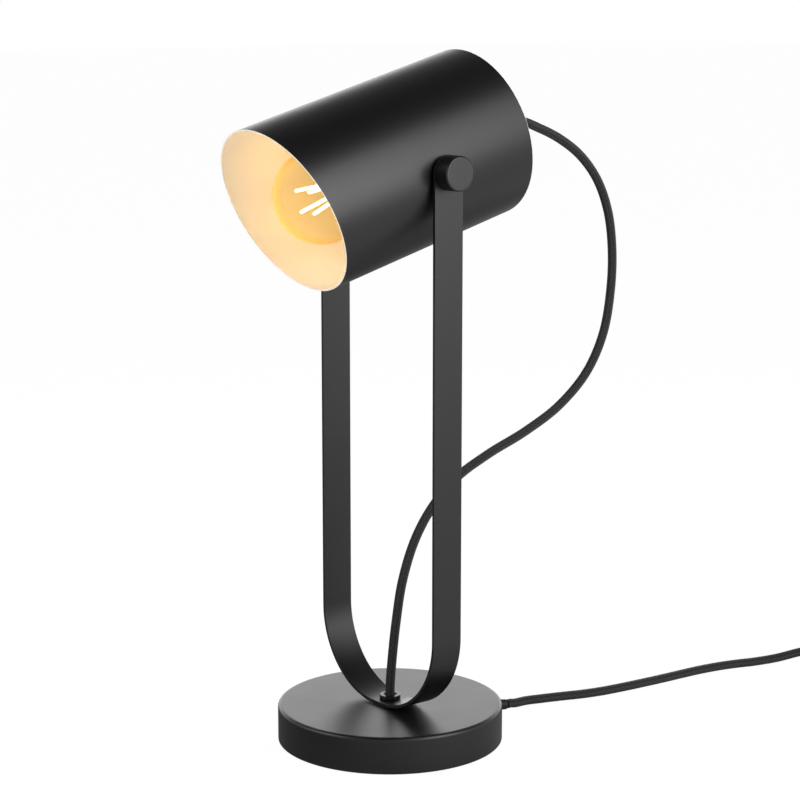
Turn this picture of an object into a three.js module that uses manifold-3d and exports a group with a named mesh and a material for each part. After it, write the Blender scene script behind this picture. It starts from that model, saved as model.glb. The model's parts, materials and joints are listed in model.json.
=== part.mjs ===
// Tabletop searchlight lamp, in millimetres, +Z up.
// The origin is the centre of the base's underside. The shade's mouth looks to -Y and the
// shade turns about the X axis, between the two arms of a bent strap. The textile lead leaves the
// shade's back, hangs down in a bow and enters the base through a collar at the foot of the strap.
// The mains lead leaves the base at +Y, with its switch, its wound length and its plug behind.

import * as THREE from 'three';
import { mergeVertices } from 'three/addons/utils/BufferGeometryUtils.js';
import Module from 'manifold-3d';

const wasm = await Module();
wasm.setup();

// Driving dimensions: the whole lamp
const pivotHeight = 384;
const shadeTiltDegrees = 15.76;
const gap = 0.3;
const overrun = 2;
const weldDistance = 1e-4;

// Driving dimensions: base
const baseRadius = 75.5;
const baseHeight = 25.2;
const baseWall = 3;
const baseTopThickness = 3.2;
const baseEdgeRadius = 1.8;
const baseInnerRadius = 1.2;
const baseRimLift = 0.9;
const padThickness = 1.6;
const padInset = 2.2;
const plateThickness = 1.5;
const weightThickness = 13;
const weightInset = 1.6;
const weightChamfer = 1;
const weightHoleRadius = 24;
const cordChannelWidth = 28;
const bottomScrewCount = 3;
const bottomScrewInset = 16.5;
const bottomScrewRadius = 2;
const bottomScrewLength = 14;
const bottomScrewHeadRadius = 3.9;
const bottomScrewSlotWidth = 0.9;
const bottomScrewSlotDepth = 0.5;
const bossRadius = 4.6;

// Driving dimensions: strap
const strapWidth = 22.5;
const strapThickness = 2;
const strapFootFlat = 9;

// Driving dimensions: hollow nipple and collars, the same size at the strap's foot and the shade's back
const nippleRadius = 5;
const nippleBore = 3.5;
const nippleChamfer = 0.5;
const nippleBelowTop = 6.8;
const nutAcrossFlats = 14;
const nutHeight = 4;
const washerRadius = 9;
const washerThickness = 1.2;
const collarRadius = 7;
const collarHeight = 2.4;
const collarCupRadius = 4.7;
const collarCupDepth = 0.9;
const collarCupFlare = 0.4;
const collarChamfer = 0.4;
const collarWall = 0.9;

// Driving dimensions: shade
const shadeRadius = 56.55;
const shadeWall = 1.2;
const shadeBack = 73.9;
const shadeFront = 87.5;
const mouthCutDegrees = 11.1;
const shadeBackThickness = 1.5;
const shadeBackEdgeRadius = 1.5;

// Driving dimensions: pivot bolts and knobs
const pivotBoltRadius = 3;
const pivotHeadRadius = 6;
const pivotHeadThickness = 2.6;
const pivotHeadDome = 1.2;
const spacerRadius = 8;
const spacerThickness = 1.55;
const knobRadius = 11.1;
const knobLength = 10.9;
const knobChamfer = 0.8;
const knobRecessRadius = 6.5;
const knobRecessDepth = 1.2;
const knobThreadDepth = 7.6;
const boltThreadLength = 7;

// Driving dimensions: lamp holder
const holderTubeInDome = 6;
const holderRadius = 19;
const holderWall = 2;
const holderLength = 52;
const holderDomeLength = 18;
const holderDomeSeat = 0.1;
const holderDomeNeckRadius = 8;
const holderDomeNeckLength = 4;
const insertThickness = 6;
const insertCollarHeight = 3;
const insertSeatDepth = 3;
const sleeveRadius = 14.2;
const sleeveWall = 0.5;
const sleeveLength = 23;
const contactTabWidth = 7;
const contactTabThickness = 0.8;
const contactTabLength = 16;

// Driving dimensions: bulb
const bulbRadius = 30.9;
const bulbFront = 87.5;
const bulbWall = 0.8;
const bulbShoulderDegrees = 28;
const bulbNeckRadius = 12.2;
const bulbCapRadius = 13.2;
const bulbCapWall = 0.4;
const bulbCapLength = 20;
const bulbLength = 108;
const bulbTipRadius = 5;
const bulbTipHeight = 1.6;
const bulbBeadLength = 5;
const bulbBeadRadius = 8.5;
const bulbGlassInCap = 3;
const stemRadius = 4.2;
const stemTipRadius = 2.4;
const stemLength = 34;
const filamentCount = 4;
const filamentRadius = 0.9;
const filamentLength = 38;
const filamentCircleRadius = 7;
const filamentLeanDegrees = 10;

// Driving dimensions: leads
const cordDiameter = 6.3;
const cordSides = 10;
const innerCordDiameter = 4.6;
const innerBendDrop = 2;

// Driving dimensions: mains outlet
const outletHeight = 6;
const bushShankRadius = 4.2;
const bushFlangeRadius = 5.3;
const bushFlangeThickness = 1.6;
const bushBootRadius = 4.9;
const bushBootTipRadius = 3.9;
const bushBootLength = 22;
const bushInside = 3;
const bushRibCount = 4;
const bushRibDepth = 0.5;
const plateNotchDepth = 13;

// Driving dimensions: terminal block
const blockWidth = 20;
const blockLength = 22;
const blockHeight = 10;
const blockInset = 32.5;
const sleeveSpacing = 10;
const terminalSleeveRadius = 2.6;
const terminalSleeveBore = 1.5;

// Driving dimensions: switch on the mains lead
const switchStart = [66, 352];
const switchHeadingDegrees = 55;
const switchLength = 64;
const switchWidth = 27;
const switchHeight = 20;
const switchSplitHeight = 10;
const switchEndWidth = 12;
const switchNoseLength = 10.5;
const switchWall = 2;
const rockerLength = 19;
const rockerWidth = 11;
const rockerDepth = 6;
const rockerEndDepth = 2;
const rockerRise = 1.6;
const rockerLeanDegrees = 7;
const rockerClearance = 0.5;

// Driving dimensions: wound length of the mains lead
const coilMidRadius = 33.5;
const coilPitch = 6.95;
const coilTurns = 6.25;
const coilSides = 6;
const coilStepsPerTurn = 24;
const coilToSwitch = 2.6;
const coilBehindSwitchEnd = 3;
const tieThickness = 0.8;
const tieWidth = 10;
const tieAheadDegrees = 45;
const tieClearance = 0.4;

// Driving dimensions: plug
const plugWidth = 35;
const plugThickness = 13.7;
const plugLength = 32;
const plugRearWidth = 16;
const plugShoulderLength = 13.3;
const plugEdgeRadius = 2;
const plugBootLength = 14;
const plugBootRadius = 5.4;
const plugBootTipRadius = 3.9;
const plugPinRadius = 2;
const plugPinLength = 19;
const plugPinSpacing = 18.6;

// Route of the lead's end round the coil: how far round it is, and what share of its rise it has there
const tailClimbDegrees = 75;
const tailBendRadius = 27;
const tailClimbShares = [[24, 0.06], [36, 0.26], [49, 0.5], [62, 0.72], [tailClimbDegrees, 0.86]];
const tailBendShares = [[30, 0.96], [60, 1], [80, 1], [90, 1]];

// Route from the switch to the coil: shares of the coil's radius ahead, and of the way to its side
const linkShares = [[0.42, 0.06], [0.7, 0.25], [0.88, 0.52]];

// Facet counts
const bigFacets = 64;
const midFacets = 32;
const bulbFacets = 24;
const smallFacets = 20;
const tinyFacets = 12;
const arcSteps = 3;
const edgeSteps = 4;
const bulbBallSteps = 11;
const bulbNeckSteps = 5;
const strapBendSteps = 15;
const strapTopSteps = 15;
const innerLeadSteps = 10;
const headCordSteps = 38;
const mainsRunSteps = 24;
const mainsLinkSteps = 10;
const mainsTailSteps = 12;

// Sizes worked out from the driving ones
const degree = Math.PI / 180;
const cordRadius = cordDiameter / 2;
const strapInside = shadeRadius + gap + spacerThickness + gap;
const strapOutside = strapInside + strapThickness;
const strapFoot = baseHeight + gap;
const strapFootTop = strapFoot + strapThickness;
const strapBendInside = strapInside - strapFootFlat / 2;
const strapBendOutside = strapBendInside + strapThickness;
const strapBendHeight = strapFootTop + strapBendInside;
const baseCeiling = baseHeight - baseTopThickness;
const plateBottom = padThickness + gap;
const plateTop = plateBottom + plateThickness;
const weightBottom = plateTop + gap;
const blockBottom = plateTop + gap;
const shellInside = baseRadius - baseWall;
const blockPlace = shellInside - blockInset;
const nippleHole = nippleRadius + gap;

// Materials: colour, roughness and metalness of the real finishes
function finish(color, roughness, metalness) {
  return new THREE.MeshStandardMaterial({ color, roughness, metalness });
}

const blackPaint = finish(0x1b1b1c, 0.45, 0.4);
const castIron = finish(0x3c3d40, 0.8, 0.6);
const zincSteel = finish(0xb4b6b8, 0.35, 1);
const brass = finish(0xc9a04a, 0.3, 1);
const nickel = finish(0xcfcdc6, 0.25, 1);
const blackRubber = finish(0x151515, 0.85, 0);
const blackPlastic = finish(0x101011, 0.35, 0);
const whiteNylon = finish(0xe6e2d8, 0.5, 0);
const ceramic = finish(0xeeeae0, 0.3, 0);
const textile = finish(0x1c1c1e, 0.95, 0);
const innerSheath = finish(0xd8d8d6, 0.6, 0);
const amberGlass = finish(0xf0b04a, 0.05, 0);
const clearGlass = finish(0xf4f4f0, 0.05, 0);
const glowing = finish(0xffe2a0, 0.6, 0);
const felt = finish(0x18181a, 1, 0);

// Solids: closed geometry in, booleans, geometry out
function solidOf(geometry) {
  const bare = geometry.index ? geometry.toNonIndexed() : geometry.clone();
  for (const name of Object.keys(bare.attributes)) {
    if (name !== 'position') bare.deleteAttribute(name);
  }
  const welded = mergeVertices(bare, weldDistance);
  const corners = welded.index.array;
  const points = welded.attributes.position.array;
  const kept = [];
  for (let i = 0; i < corners.length; i += 3) {
    const [a, b, c] = [corners[i], corners[i + 1], corners[i + 2]];
    if (a !== b && b !== c && c !== a) kept.push(a, b, c);
  }
  if (signedVolume(points, kept) < 0) kept.reverse();
  return new wasm.Manifold(new wasm.Mesh({
    numProp: 3,
    vertProperties: new Float32Array(points),
    triVerts: new Uint32Array(kept),
  }));
}

function signedVolume(points, corners) {
  const a = new THREE.Vector3();
  const b = new THREE.Vector3();
  const c = new THREE.Vector3();
  let sum = 0;
  for (let i = 0; i < corners.length; i += 3) {
    a.fromArray(points, corners[i] * 3);
    b.fromArray(points, corners[i + 1] * 3);
    c.fromArray(points, corners[i + 2] * 3);
    sum += a.dot(b.cross(c));
  }
  return sum / 6;
}

function geometryOf(solid) {
  const mesh = solid.getMesh();
  const geometry = new THREE.BufferGeometry();
  const places = new THREE.BufferAttribute(new Float32Array(mesh.vertProperties), 3);
  geometry.setAttribute('position', places);
  geometry.setIndex(new THREE.BufferAttribute(new Uint32Array(mesh.triVerts), 1));
  return geometry;
}

function cut(solid, ...tools) {
  return tools.reduce((whole, tool) => whole.subtract(tool), solid);
}

function part(name, solid, material, parent) {
  const mesh = new THREE.Mesh(geometryOf(solid), material);
  mesh.name = name;
  parent.add(mesh);
  return mesh;
}

// Points of a quarter or other arc in a profile, ends included
function arc(centreX, centreY, radius, fromDegrees, toDegrees, steps = arcSteps) {
  const points = [];
  for (let i = 0; i <= steps; i += 1) {
    const angle = (fromDegrees + ((toDegrees - fromDegrees) * i) / steps) * degree;
    points.push([centreX + radius * Math.cos(angle), centreY + radius * Math.sin(angle)]);
  }
  return points;
}

// A turned solid about Z from a profile of [radius, height], closed on itself
function turnedZ(profile, facets) {
  const geometry = lathe(profile, facets);
  geometry.rotateX(Math.PI / 2);
  return solidOf(geometry);
}

// The same about Y: the profile's second number is the place along Y
function turnedY(profile, facets) {
  return solidOf(lathe(profile, facets));
}

// The same about X, looking outwards along the side that is given as 1 or -1
function turnedX(profile, facets, side) {
  const geometry = lathe(profile, facets);
  geometry.rotateZ((-side * Math.PI) / 2);
  return solidOf(geometry);
}

function lathe(profile, facets) {
  const points = profile.map(([radius, height]) => new THREE.Vector2(radius, height));
  points.push(points[0].clone());
  return new THREE.LatheGeometry(points, facets);
}

// A plain ring or disc profile between two radii and two heights
function ringProfile(inner, outer, low, high) {
  return [[inner, low], [outer, low], [outer, high], [inner, high]];
}

// A ring profile with both outer corners cut at 45 degrees
function chamferedProfile(inner, outer, low, high, chamfer) {
  return [
    [inner, low],
    [outer - chamfer, low],
    [outer, low + chamfer],
    [outer, high - chamfer],
    [outer - chamfer, high],
    [inner, high],
  ];
}

function rodZ(radius, low, high, facets = smallFacets) {
  return turnedZ(ringProfile(0, radius, low, high), facets);
}

function rodY(radius, low, high, facets = smallFacets) {
  return turnedY(ringProfile(0, radius, low, high), facets);
}

function rodX(radius, low, high, side = 1, facets = smallFacets) {
  return turnedX(ringProfile(0, radius, low, high), facets, side);
}

function boxSolid(sizeX, sizeY, sizeZ, centreX, centreY, centreZ) {
  const geometry = new THREE.BoxGeometry(sizeX, sizeY, sizeZ);
  geometry.translate(centreX, centreY, centreZ);
  return solidOf(geometry);
}

// An outline of [x, y] points pulled up along Z
function prism(outline, low, high) {
  const shape = new THREE.Shape(outline.map(([x, y]) => new THREE.Vector2(x, y)));
  const geometry = new THREE.ExtrudeGeometry(shape, { depth: high - low, bevelEnabled: false });
  geometry.translate(0, 0, low);
  return solidOf(geometry);
}

function hexagon(acrossFlats) {
  const reach = acrossFlats / Math.sqrt(3);
  return arc(0, 0, reach, 0, 300, 5);
}

// A rectangle with round corners, centred on the origin
function roundedRectangle(width, length, radius) {
  const x = width / 2 - radius;
  const y = length / 2 - radius;
  return [
    ...arc(x, y, radius, 0, 90),
    ...arc(-x, y, radius, 90, 180),
    ...arc(-x, -y, radius, 180, 270),
    ...arc(x, -y, radius, 270, 360),
  ];
}

// A tube of the lead's section along a smooth route
function tube(curve, diameter, steps, sides = cordSides) {
  const section = new THREE.Shape(
    arc(0, 0, diameter / 2, 0, 360 - 360 / sides, sides - 1).map(([x, y]) => new THREE.Vector2(x, y)),
  );
  const geometry = new THREE.ExtrudeGeometry(section, { steps, extrudePath: curve, bevelEnabled: false });
  return solidOf(geometry);
}

function smooth(points) {
  return new THREE.CatmullRomCurve3(points.map((point) => new THREE.Vector3(...point)));
}

const lamp = new THREE.Group();
const pivot = new THREE.Group();
pivot.position.z = pivotHeight;
pivot.rotation.x = shadeTiltDegrees * degree;
lamp.add(pivot);

// Base shell: a flat round cover with a rounded upper edge, an outlet at the back and three bosses
function makeBaseShell() {
  const edgeCentre = baseRadius - baseEdgeRadius;
  const profile = [
    [shellInside, baseRimLift],
    [baseRadius, baseRimLift],
    ...arc(edgeCentre, baseHeight - baseEdgeRadius, baseEdgeRadius, 0, 90),
    [nippleHole, baseHeight],
    [nippleHole, baseCeiling],
    ...arc(shellInside - baseInnerRadius, baseCeiling - baseInnerRadius, baseInnerRadius, 90, 0),
  ];
  let shell = turnedZ(profile, bigFacets);
  for (const [x, y] of screwPlaces()) {
    const boss = rodZ(bossRadius, weightBottom, baseCeiling + baseTopThickness / 2, smallFacets);
    const pilot = rodZ(bottomScrewRadius + gap, weightBottom - overrun, plateTop + bottomScrewLength, smallFacets);
    shell = cut(shell.add(boss.translate([x, y, 0])), pilot.translate([x, y, 0]));
  }
  const outlet = rodY(bushShankRadius + gap, shellInside - overrun * 2, baseRadius + overrun);
  return cut(shell, outlet.translate([0, 0, outletHeight]));
}

function screwPlaces() {
  const places = [];
  const circleRadius = shellInside - bottomScrewInset;
  for (let i = 0; i < bottomScrewCount; i += 1) {
    const angle = (-90 + (360 / bottomScrewCount) * i) * degree;
    places.push([circleRadius * Math.cos(angle), circleRadius * Math.sin(angle)]);
  }
  return places;
}

// Weight: a cast ring with a channel for the lead and clearance round the bosses
function makeBaseWeight() {
  const outer = shellInside - weightInset;
  const top = weightBottom + weightThickness;
  let weight = turnedZ(chamferedProfile(weightHoleRadius, outer, weightBottom, top, weightChamfer), midFacets);
  const channelHeight = weightThickness + overrun * 2;
  const channelMiddle = weightBottom + weightThickness / 2;
  weight = cut(weight, boxSolid(cordChannelWidth, outer + overrun, channelHeight,
    0, (outer + overrun) / 2, channelMiddle));
  for (const [x, y] of screwPlaces()) {
    const hole = rodZ(bossRadius + gap * 2, weightBottom - overrun, top + overrun, smallFacets);
    weight = cut(weight, hole.translate([x, y, 0]));
  }
  return weight;
}

// Bottom plate: a pressed disc with countersunk holes and a notch under the outlet
function makeBottomPlate() {
  let plate = turnedZ(ringProfile(0, shellInside - gap, plateBottom, plateTop), midFacets);
  for (const [x, y] of screwPlaces()) {
    const sink = turnedZ([
      [0, plateBottom - overrun],
      [bottomScrewHeadRadius + gap, plateBottom - overrun],
      [bottomScrewHeadRadius + gap, plateBottom],
      [bottomScrewRadius + gap, plateTop],
      [bottomScrewRadius + gap, plateTop + overrun],
      [0, plateTop + overrun],
    ], smallFacets);
    plate = cut(plate, sink.translate([x, y, 0]));
  }
  const notchWidth = (bushShankRadius + gap) * 2;
  return cut(plate, boxSolid(notchWidth, plateNotchDepth * 2, plateThickness + overrun * 2,
    0, shellInside, (plateBottom + plateTop) / 2));
}

// Countersunk screw with a slot, head downwards
function makeBottomScrew() {
  const coneTop = plateTop - gap / 2;
  const screw = turnedZ([
    [0, plateBottom],
    [bottomScrewHeadRadius, plateBottom],
    [bottomScrewRadius, coneTop],
    [bottomScrewRadius, plateTop + bottomScrewLength - gap],
    [0, plateTop + bottomScrewLength - gap],
  ], smallFacets);
  const slot = boxSolid(bottomScrewHeadRadius * 3, bottomScrewSlotWidth, bottomScrewSlotDepth * 2, 0, 0, plateBottom);
  return cut(screw, slot);
}

function addBase() {
  part('base_shell', makeBaseShell(), blackPaint, lamp);
  part('base_weight', makeBaseWeight(), castIron, lamp);
  part('bottom_plate', makeBottomPlate(), zincSteel, lamp);
  const pad = turnedZ(ringProfile(0, shellInside - padInset, 0, padThickness), midFacets);
  part('foot_pad', pad, felt, lamp);
  screwPlaces().forEach(([x, y], i) => {
    part(`bottom_screw_${i + 1}`, makeBottomScrew(), zincSteel, lamp).position.set(x, y, 0);
  });
}

// Strap: one flat bar bent to a U, with round ends at the pivot
function makeStrap() {
  const top = pivotHeight + strapWidth;
  const corner = strapFootFlat / 2;
  const outline = [
    [strapOutside, top],
    [strapInside, top],
    ...arc(corner, strapBendHeight, strapBendInside, 0, -90, strapBendSteps),
    ...arc(-corner, strapBendHeight, strapBendInside, -90, -180, strapBendSteps),
    [-strapInside, top],
    [-strapOutside, top],
    ...arc(-corner, strapBendHeight, strapBendOutside, -180, -90, strapBendSteps),
    ...arc(corner, strapBendHeight, strapBendOutside, -90, 0, strapBendSteps),
  ];
  const bar = prism(outline, -strapWidth / 2, strapWidth / 2).rotate([90, 0, 0]);
  const side = [
    [-strapWidth / 2, strapFoot - overrun],
    [strapWidth / 2, strapFoot - overrun],
    ...arc(0, pivotHeight, strapWidth / 2, 0, 180, strapTopSteps),
  ];
  const reach = strapOutside + overrun;
  const envelope = prism(side, -reach, reach).rotate([90, 0, 90]);
  const pivotHole = rodX(pivotBoltRadius + gap, -reach, reach).translate([0, 0, pivotHeight]);
  const nippleOpening = rodZ(nippleHole, strapFoot - overrun, strapFootTop + overrun);
  return cut(bar.intersect(envelope), pivotHole, nippleOpening);
}

// A hollow threaded tube from one height to another, both ends chamfered
function hollowTubeProfile(low, high) {
  return chamferedProfile(nippleBore, nippleRadius, low, high, nippleChamfer);
}

// The collar: a turned cap over the nipple's end, with a cup that the lead stands in
function collarProfile(seat) {
  const top = seat + collarHeight;
  const cupFloor = top - collarCupDepth;
  return [
    [nippleHole, seat],
    [collarRadius, seat],
    [collarRadius, top - collarChamfer],
    [collarRadius - collarChamfer, top],
    [collarCupRadius, top],
    [collarCupRadius - collarCupFlare, cupFloor + collarCupFlare],
    [nippleBore, cupFloor],
    [nippleBore, cupFloor - collarWall],
    [nippleHole, cupFloor - collarWall],
  ];
}

// How far a flat round seat lies off a curved wall that it crosses
function saddle(wallRadius, seatRadius) {
  return wallRadius - Math.sqrt(wallRadius ** 2 - seatRadius ** 2);
}

const strapCollarSeat = strapFootTop + saddle(strapBendInside, collarRadius - strapFootFlat / 2) + gap;
const strapCollarTop = strapCollarSeat + collarHeight;
const nippleBottom = baseCeiling - nippleBelowTop;

function makeNut(low, high) {
  return cut(prism(hexagon(nutAcrossFlats), low, high), rodZ(nippleHole, low - overrun, high + overrun));
}

function addStrap() {
  part('yoke_strap', makeStrap(), blackPaint, lamp);
  const nippleTop = strapCollarTop - collarCupDepth - collarWall - gap;
  part('strap_nipple', turnedZ(hollowTubeProfile(nippleBottom, nippleTop), smallFacets), zincSteel, lamp);
  const washerTop = baseCeiling - gap;
  const washerBottom = washerTop - washerThickness;
  const washer = turnedZ(ringProfile(nippleHole, washerRadius, washerBottom, washerTop), smallFacets);
  part('nipple_washer', washer, zincSteel, lamp);
  const nutTop = washerBottom - gap;
  part('nipple_nut', makeNut(nutTop - nutHeight, nutTop), zincSteel, lamp);
  part('strap_collar', turnedZ(collarProfile(strapCollarSeat), smallFacets), blackPlastic, lamp);
}

// Shade: a thin drum, closed and rounded at the back, cut off slantwise at the mouth
function makeShade() {
  const inner = shadeRadius - shadeWall;
  const reach = shadeFront + Math.tan(mouthCutDegrees * degree) * shadeRadius + overrun;
  const backInside = shadeBack - shadeBackThickness;
  const edge = shadeBackEdgeRadius;
  const profile = [
    [nippleHole, shadeBack],
    ...arc(shadeRadius - edge, shadeBack - edge, edge, 90, 0, edgeSteps),
    [shadeRadius, -reach],
    [inner, -reach],
    [inner, backInside],
    [nippleHole, backInside],
  ];
  const drum = turnedY(profile, bigFacets);
  const cutter = new THREE.BoxGeometry(shadeRadius * 3, shadeRadius, shadeRadius * 3);
  cutter.translate(0, -shadeRadius / 2, 0);
  cutter.rotateX(mouthCutDegrees * degree);
  cutter.translate(0, -shadeFront, 0);
  const pivotHole = rodX(pivotBoltRadius + gap, -shadeRadius - overrun, shadeRadius + overrun);
  return cut(drum, solidOf(cutter), pivotHole);
}

// Pivot bolt: its low head lies inside the shade and its thread ends in the knob
function makePivotBolt(side) {
  const shadeInside = shadeRadius - shadeWall;
  const seat = shadeInside - saddle(shadeInside, pivotHeadRadius) - gap;
  const headBack = seat - pivotHeadThickness;
  const tip = strapOutside + gap + boltThreadLength;
  return turnedX([
    [0, headBack],
    [pivotHeadRadius - pivotHeadDome, headBack],
    [pivotHeadRadius, headBack + pivotHeadDome],
    [pivotHeadRadius, seat],
    [pivotBoltRadius, seat],
    [pivotBoltRadius, tip],
    [0, tip],
  ], smallFacets, side);
}

function makeSpacer(side) {
  const from = shadeRadius + gap;
  const to = strapInside - gap;
  return turnedX(ringProfile(pivotBoltRadius + gap, spacerRadius, from, to), smallFacets, side);
}

// Knob: a plain turned drum with a chamfered edge, threaded from the back
function makeKnob(side) {
  const back = strapOutside + gap;
  const front = back + knobLength;
  return turnedX([
    [pivotBoltRadius + gap, back],
    [knobRecessRadius, back],
    [knobRecessRadius, back + knobRecessDepth / 2],
    [knobRadius - knobRecessDepth, back + knobRecessDepth / 2],
    [knobRadius - knobRecessDepth, back],
    [knobRadius - knobChamfer / 2, back],
    [knobRadius, back + knobChamfer / 2],
    [knobRadius, front - knobChamfer],
    [knobRadius - knobChamfer, front],
    [0, front],
    [0, back + knobThreadDepth],
    [pivotBoltRadius + gap, back + knobThreadDepth],
  ], midFacets, side);
}

function addPivots() {
  for (const [name, side] of [['right', 1], ['left', -1]]) {
    part(`pivot_bolt_${name}`, makePivotBolt(side), zincSteel, pivot);
    part(`pivot_spacer_${name}`, makeSpacer(side), blackPlastic, pivot);
    part(`knob_${name}`, makeKnob(side), blackPaint, pivot);
  }
}

// Lamp holder, along Y with its open end to -Y
const backInner = shadeBack - shadeBackThickness;
const bulbEnd = bulbLength - bulbFront;
const insertFront = bulbEnd + contactTabThickness + gap;
const insertBack = insertFront + insertThickness;
const domeFront = insertBack + holderDomeSeat;
const holderBack = domeFront + holderDomeLength;
const holderFront = holderBack - holderLength;
const sleeveInside = sleeveRadius - sleeveWall;
const backCollarSeat = shadeBack + gap;
const backCollarTop = backCollarSeat + collarHeight;

function makeHolderDome() {
  const shoulder = holderRadius - holderWall;
  const crown = holderBack - holderDomeNeckLength;
  const crownInside = crown - holderWall;
  return turnedY([
    [nippleHole, holderBack],
    [holderDomeNeckRadius, holderBack],
    [holderDomeNeckRadius, crown],
    ...domeCurve(holderDomeNeckRadius, holderRadius, crown, domeFront),
    [shoulder, domeFront],
    ...domeCurve(nippleHole + holderWall, shoulder, crownInside, domeFront).reverse(),
    [nippleHole, crownInside],
  ], smallFacets);
}

// A quarter of an ellipse from a neck to a rim
function domeCurve(neck, rim, from, to) {
  const points = [];
  for (let i = 1; i <= edgeSteps; i += 1) {
    const angle = ((90 * i) / edgeSteps) * degree;
    points.push([neck + (rim - neck) * Math.sin(angle), to + (from - to) * Math.cos(angle)]);
  }
  return points;
}

function makeHolderBody() {
  const back = domeFront - gap;
  const lip = holderWall / 2;
  return turnedY([
    [holderRadius - holderWall, back],
    [holderRadius, back],
    [holderRadius, holderFront + lip],
    [holderRadius - lip, holderFront],
    [sleeveRadius + gap, holderFront],
    [sleeveRadius + gap, holderFront + holderWall],
    [holderRadius - holderWall, holderFront + holderWall],
  ], smallFacets);
}

// Insert: the ceramic disc that carries the contact tab and the screw sleeve
function makeInsert() {
  const outer = holderRadius - holderWall - gap;
  return turnedY([
    [0, insertFront],
    [sleeveInside - gap, insertFront],
    [sleeveInside - gap, insertFront + insertSeatDepth],
    [outer, insertFront + insertSeatDepth],
    [outer, insertBack],
    [sleeveInside - insertCollarHeight, insertBack],
    [sleeveInside - insertCollarHeight, insertBack + insertCollarHeight],
    [0, insertBack + insertCollarHeight],
  ], smallFacets);
}

function makeContactTab() {
  const thickness = contactTabThickness;
  const middle = insertFront - gap - thickness / 2;
  return boxSolid(contactTabWidth, thickness, contactTabLength, 0, middle, 0);
}

function addHolder() {
  const tubeBack = backCollarTop - collarCupDepth - collarWall - gap;
  const tubeFront = holderBack - holderTubeInDome;
  part('holder_tube', turnedY(hollowTubeProfile(tubeFront, tubeBack), smallFacets), zincSteel, pivot);
  part('back_collar', turnedY(collarProfile(backCollarSeat), smallFacets), blackPlastic, pivot);
  const nutBack = backInner - gap;
  const nut = makeNut(nutBack - nutHeight, nutBack).rotate([-90, 0, 0]);
  part('tube_nut', nut, zincSteel, pivot);
  part('holder_dome', makeHolderDome(), blackPlastic, pivot);
  part('holder_body', makeHolderBody(), blackPlastic, pivot);
  part('holder_insert', makeInsert(), ceramic, pivot);
  const sleeveBack = insertFront + insertSeatDepth - gap;
  const sleeveFront = sleeveBack - sleeveLength;
  const sleeve = turnedY(ringProfile(sleeveInside, sleeveRadius, sleeveFront, sleeveBack), smallFacets);
  part('screw_sleeve', sleeve, brass, pivot);
  part('contact_tab', makeContactTab(), brass, pivot);
}

// Bulb, in the same frame: its glass swells from the neck into a ball at the mouth
const ballCentre = -(bulbFront - bulbRadius);
const capFront = bulbEnd - bulbTipHeight - bulbBeadLength - bulbCapLength;
const neckFront = capFront - bulbGlassInCap;

// Outer outline of the glass from the tip of the ball back to the neck
function glassOutline(inset) {
  const radius = bulbRadius - inset;
  const points = arc(0, ballCentre, radius, -90, bulbShoulderDegrees, bulbBallSteps);
  const [joinRadius, joinPlace] = points[points.length - 1];
  const lean = Math.tan(bulbShoulderDegrees * degree);
  const neck = bulbNeckRadius - inset;
  const run = neckFront - joinPlace;
  for (let i = 1; i <= bulbNeckSteps; i += 1) {
    const t = i / bulbNeckSteps;
    const startSlope = -run * lean;
    const blend = (2 * t ** 3 - 3 * t ** 2 + 1) * joinRadius + (t ** 3 - 2 * t ** 2 + t) * startSlope;
    points.push([blend + (3 * t ** 2 - 2 * t ** 3) * neck, joinPlace + run * t]);
  }
  return points;
}

function makeGlass() {
  const end = capFront + bulbGlassInCap;
  const outside = [...glassOutline(0), [bulbNeckRadius, end]];
  const inside = [...glassOutline(bulbWall), [bulbNeckRadius - bulbWall, end]];
  return turnedY([...outside, ...inside.reverse()], bulbFacets);
}

function makeBulbCap() {
  const back = bulbEnd - bulbTipHeight - bulbBeadLength;
  const inner = bulbCapRadius - bulbCapWall;
  return turnedY([
    [inner, capFront],
    [bulbCapRadius, capFront],
    [bulbCapRadius, back - bulbBeadLength / 2],
    [bulbBeadRadius + bulbCapWall, back],
    [bulbBeadRadius, back],
    [inner, back - bulbBeadLength / 2 - bulbCapWall],
  ], bulbFacets);
}

function makeBulbBead() {
  const back = bulbEnd - bulbTipHeight;
  const front = back - bulbBeadLength;
  const seat = bulbBeadRadius - gap;
  return turnedY([
    [0, front],
    [seat, front],
    [seat, front + bulbBeadLength / 4],
    [bulbTipRadius, back - gap],
    [0, back - gap],
  ], smallFacets);
}

function makeBulbTip() {
  const back = bulbEnd - gap;
  const front = bulbEnd - bulbTipHeight;
  return turnedY([
    [0, front],
    [bulbTipRadius, front],
    [bulbTipRadius, front + bulbTipHeight / 4],
    [bulbTipRadius / 2, back],
    [0, back],
  ], smallFacets);
}

// Stem: the glass mount that stands in the bulb's neck and carries the filaments
const stemBack = capFront + bulbGlassInCap;
const stemFront = stemBack - stemLength;

function makeStem() {
  const flare = bulbNeckRadius - bulbWall - gap;
  return turnedY([
    [0, stemBack],
    [flare, stemBack],
    [stemRadius, stemBack - stemRadius],
    [stemRadius, stemFront + stemRadius * 2],
    [stemTipRadius, stemFront + stemRadius],
    [stemTipRadius, stemFront],
    [0, stemFront],
  ], smallFacets);
}

// One filament stands beside the stem's tip and leans outwards
function makeFilament(i) {
  const turn = (360 / filamentCount) * (i + 0.5);
  const rod = rodY(filamentRadius, -filamentLength, 0, tinyFacets);
  const back = stemFront + stemRadius;
  return rod.rotate([0, 0, filamentLeanDegrees])
    .translate([filamentCircleRadius / 2, back, 0])
    .rotate([0, turn, 0]);
}

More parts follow.
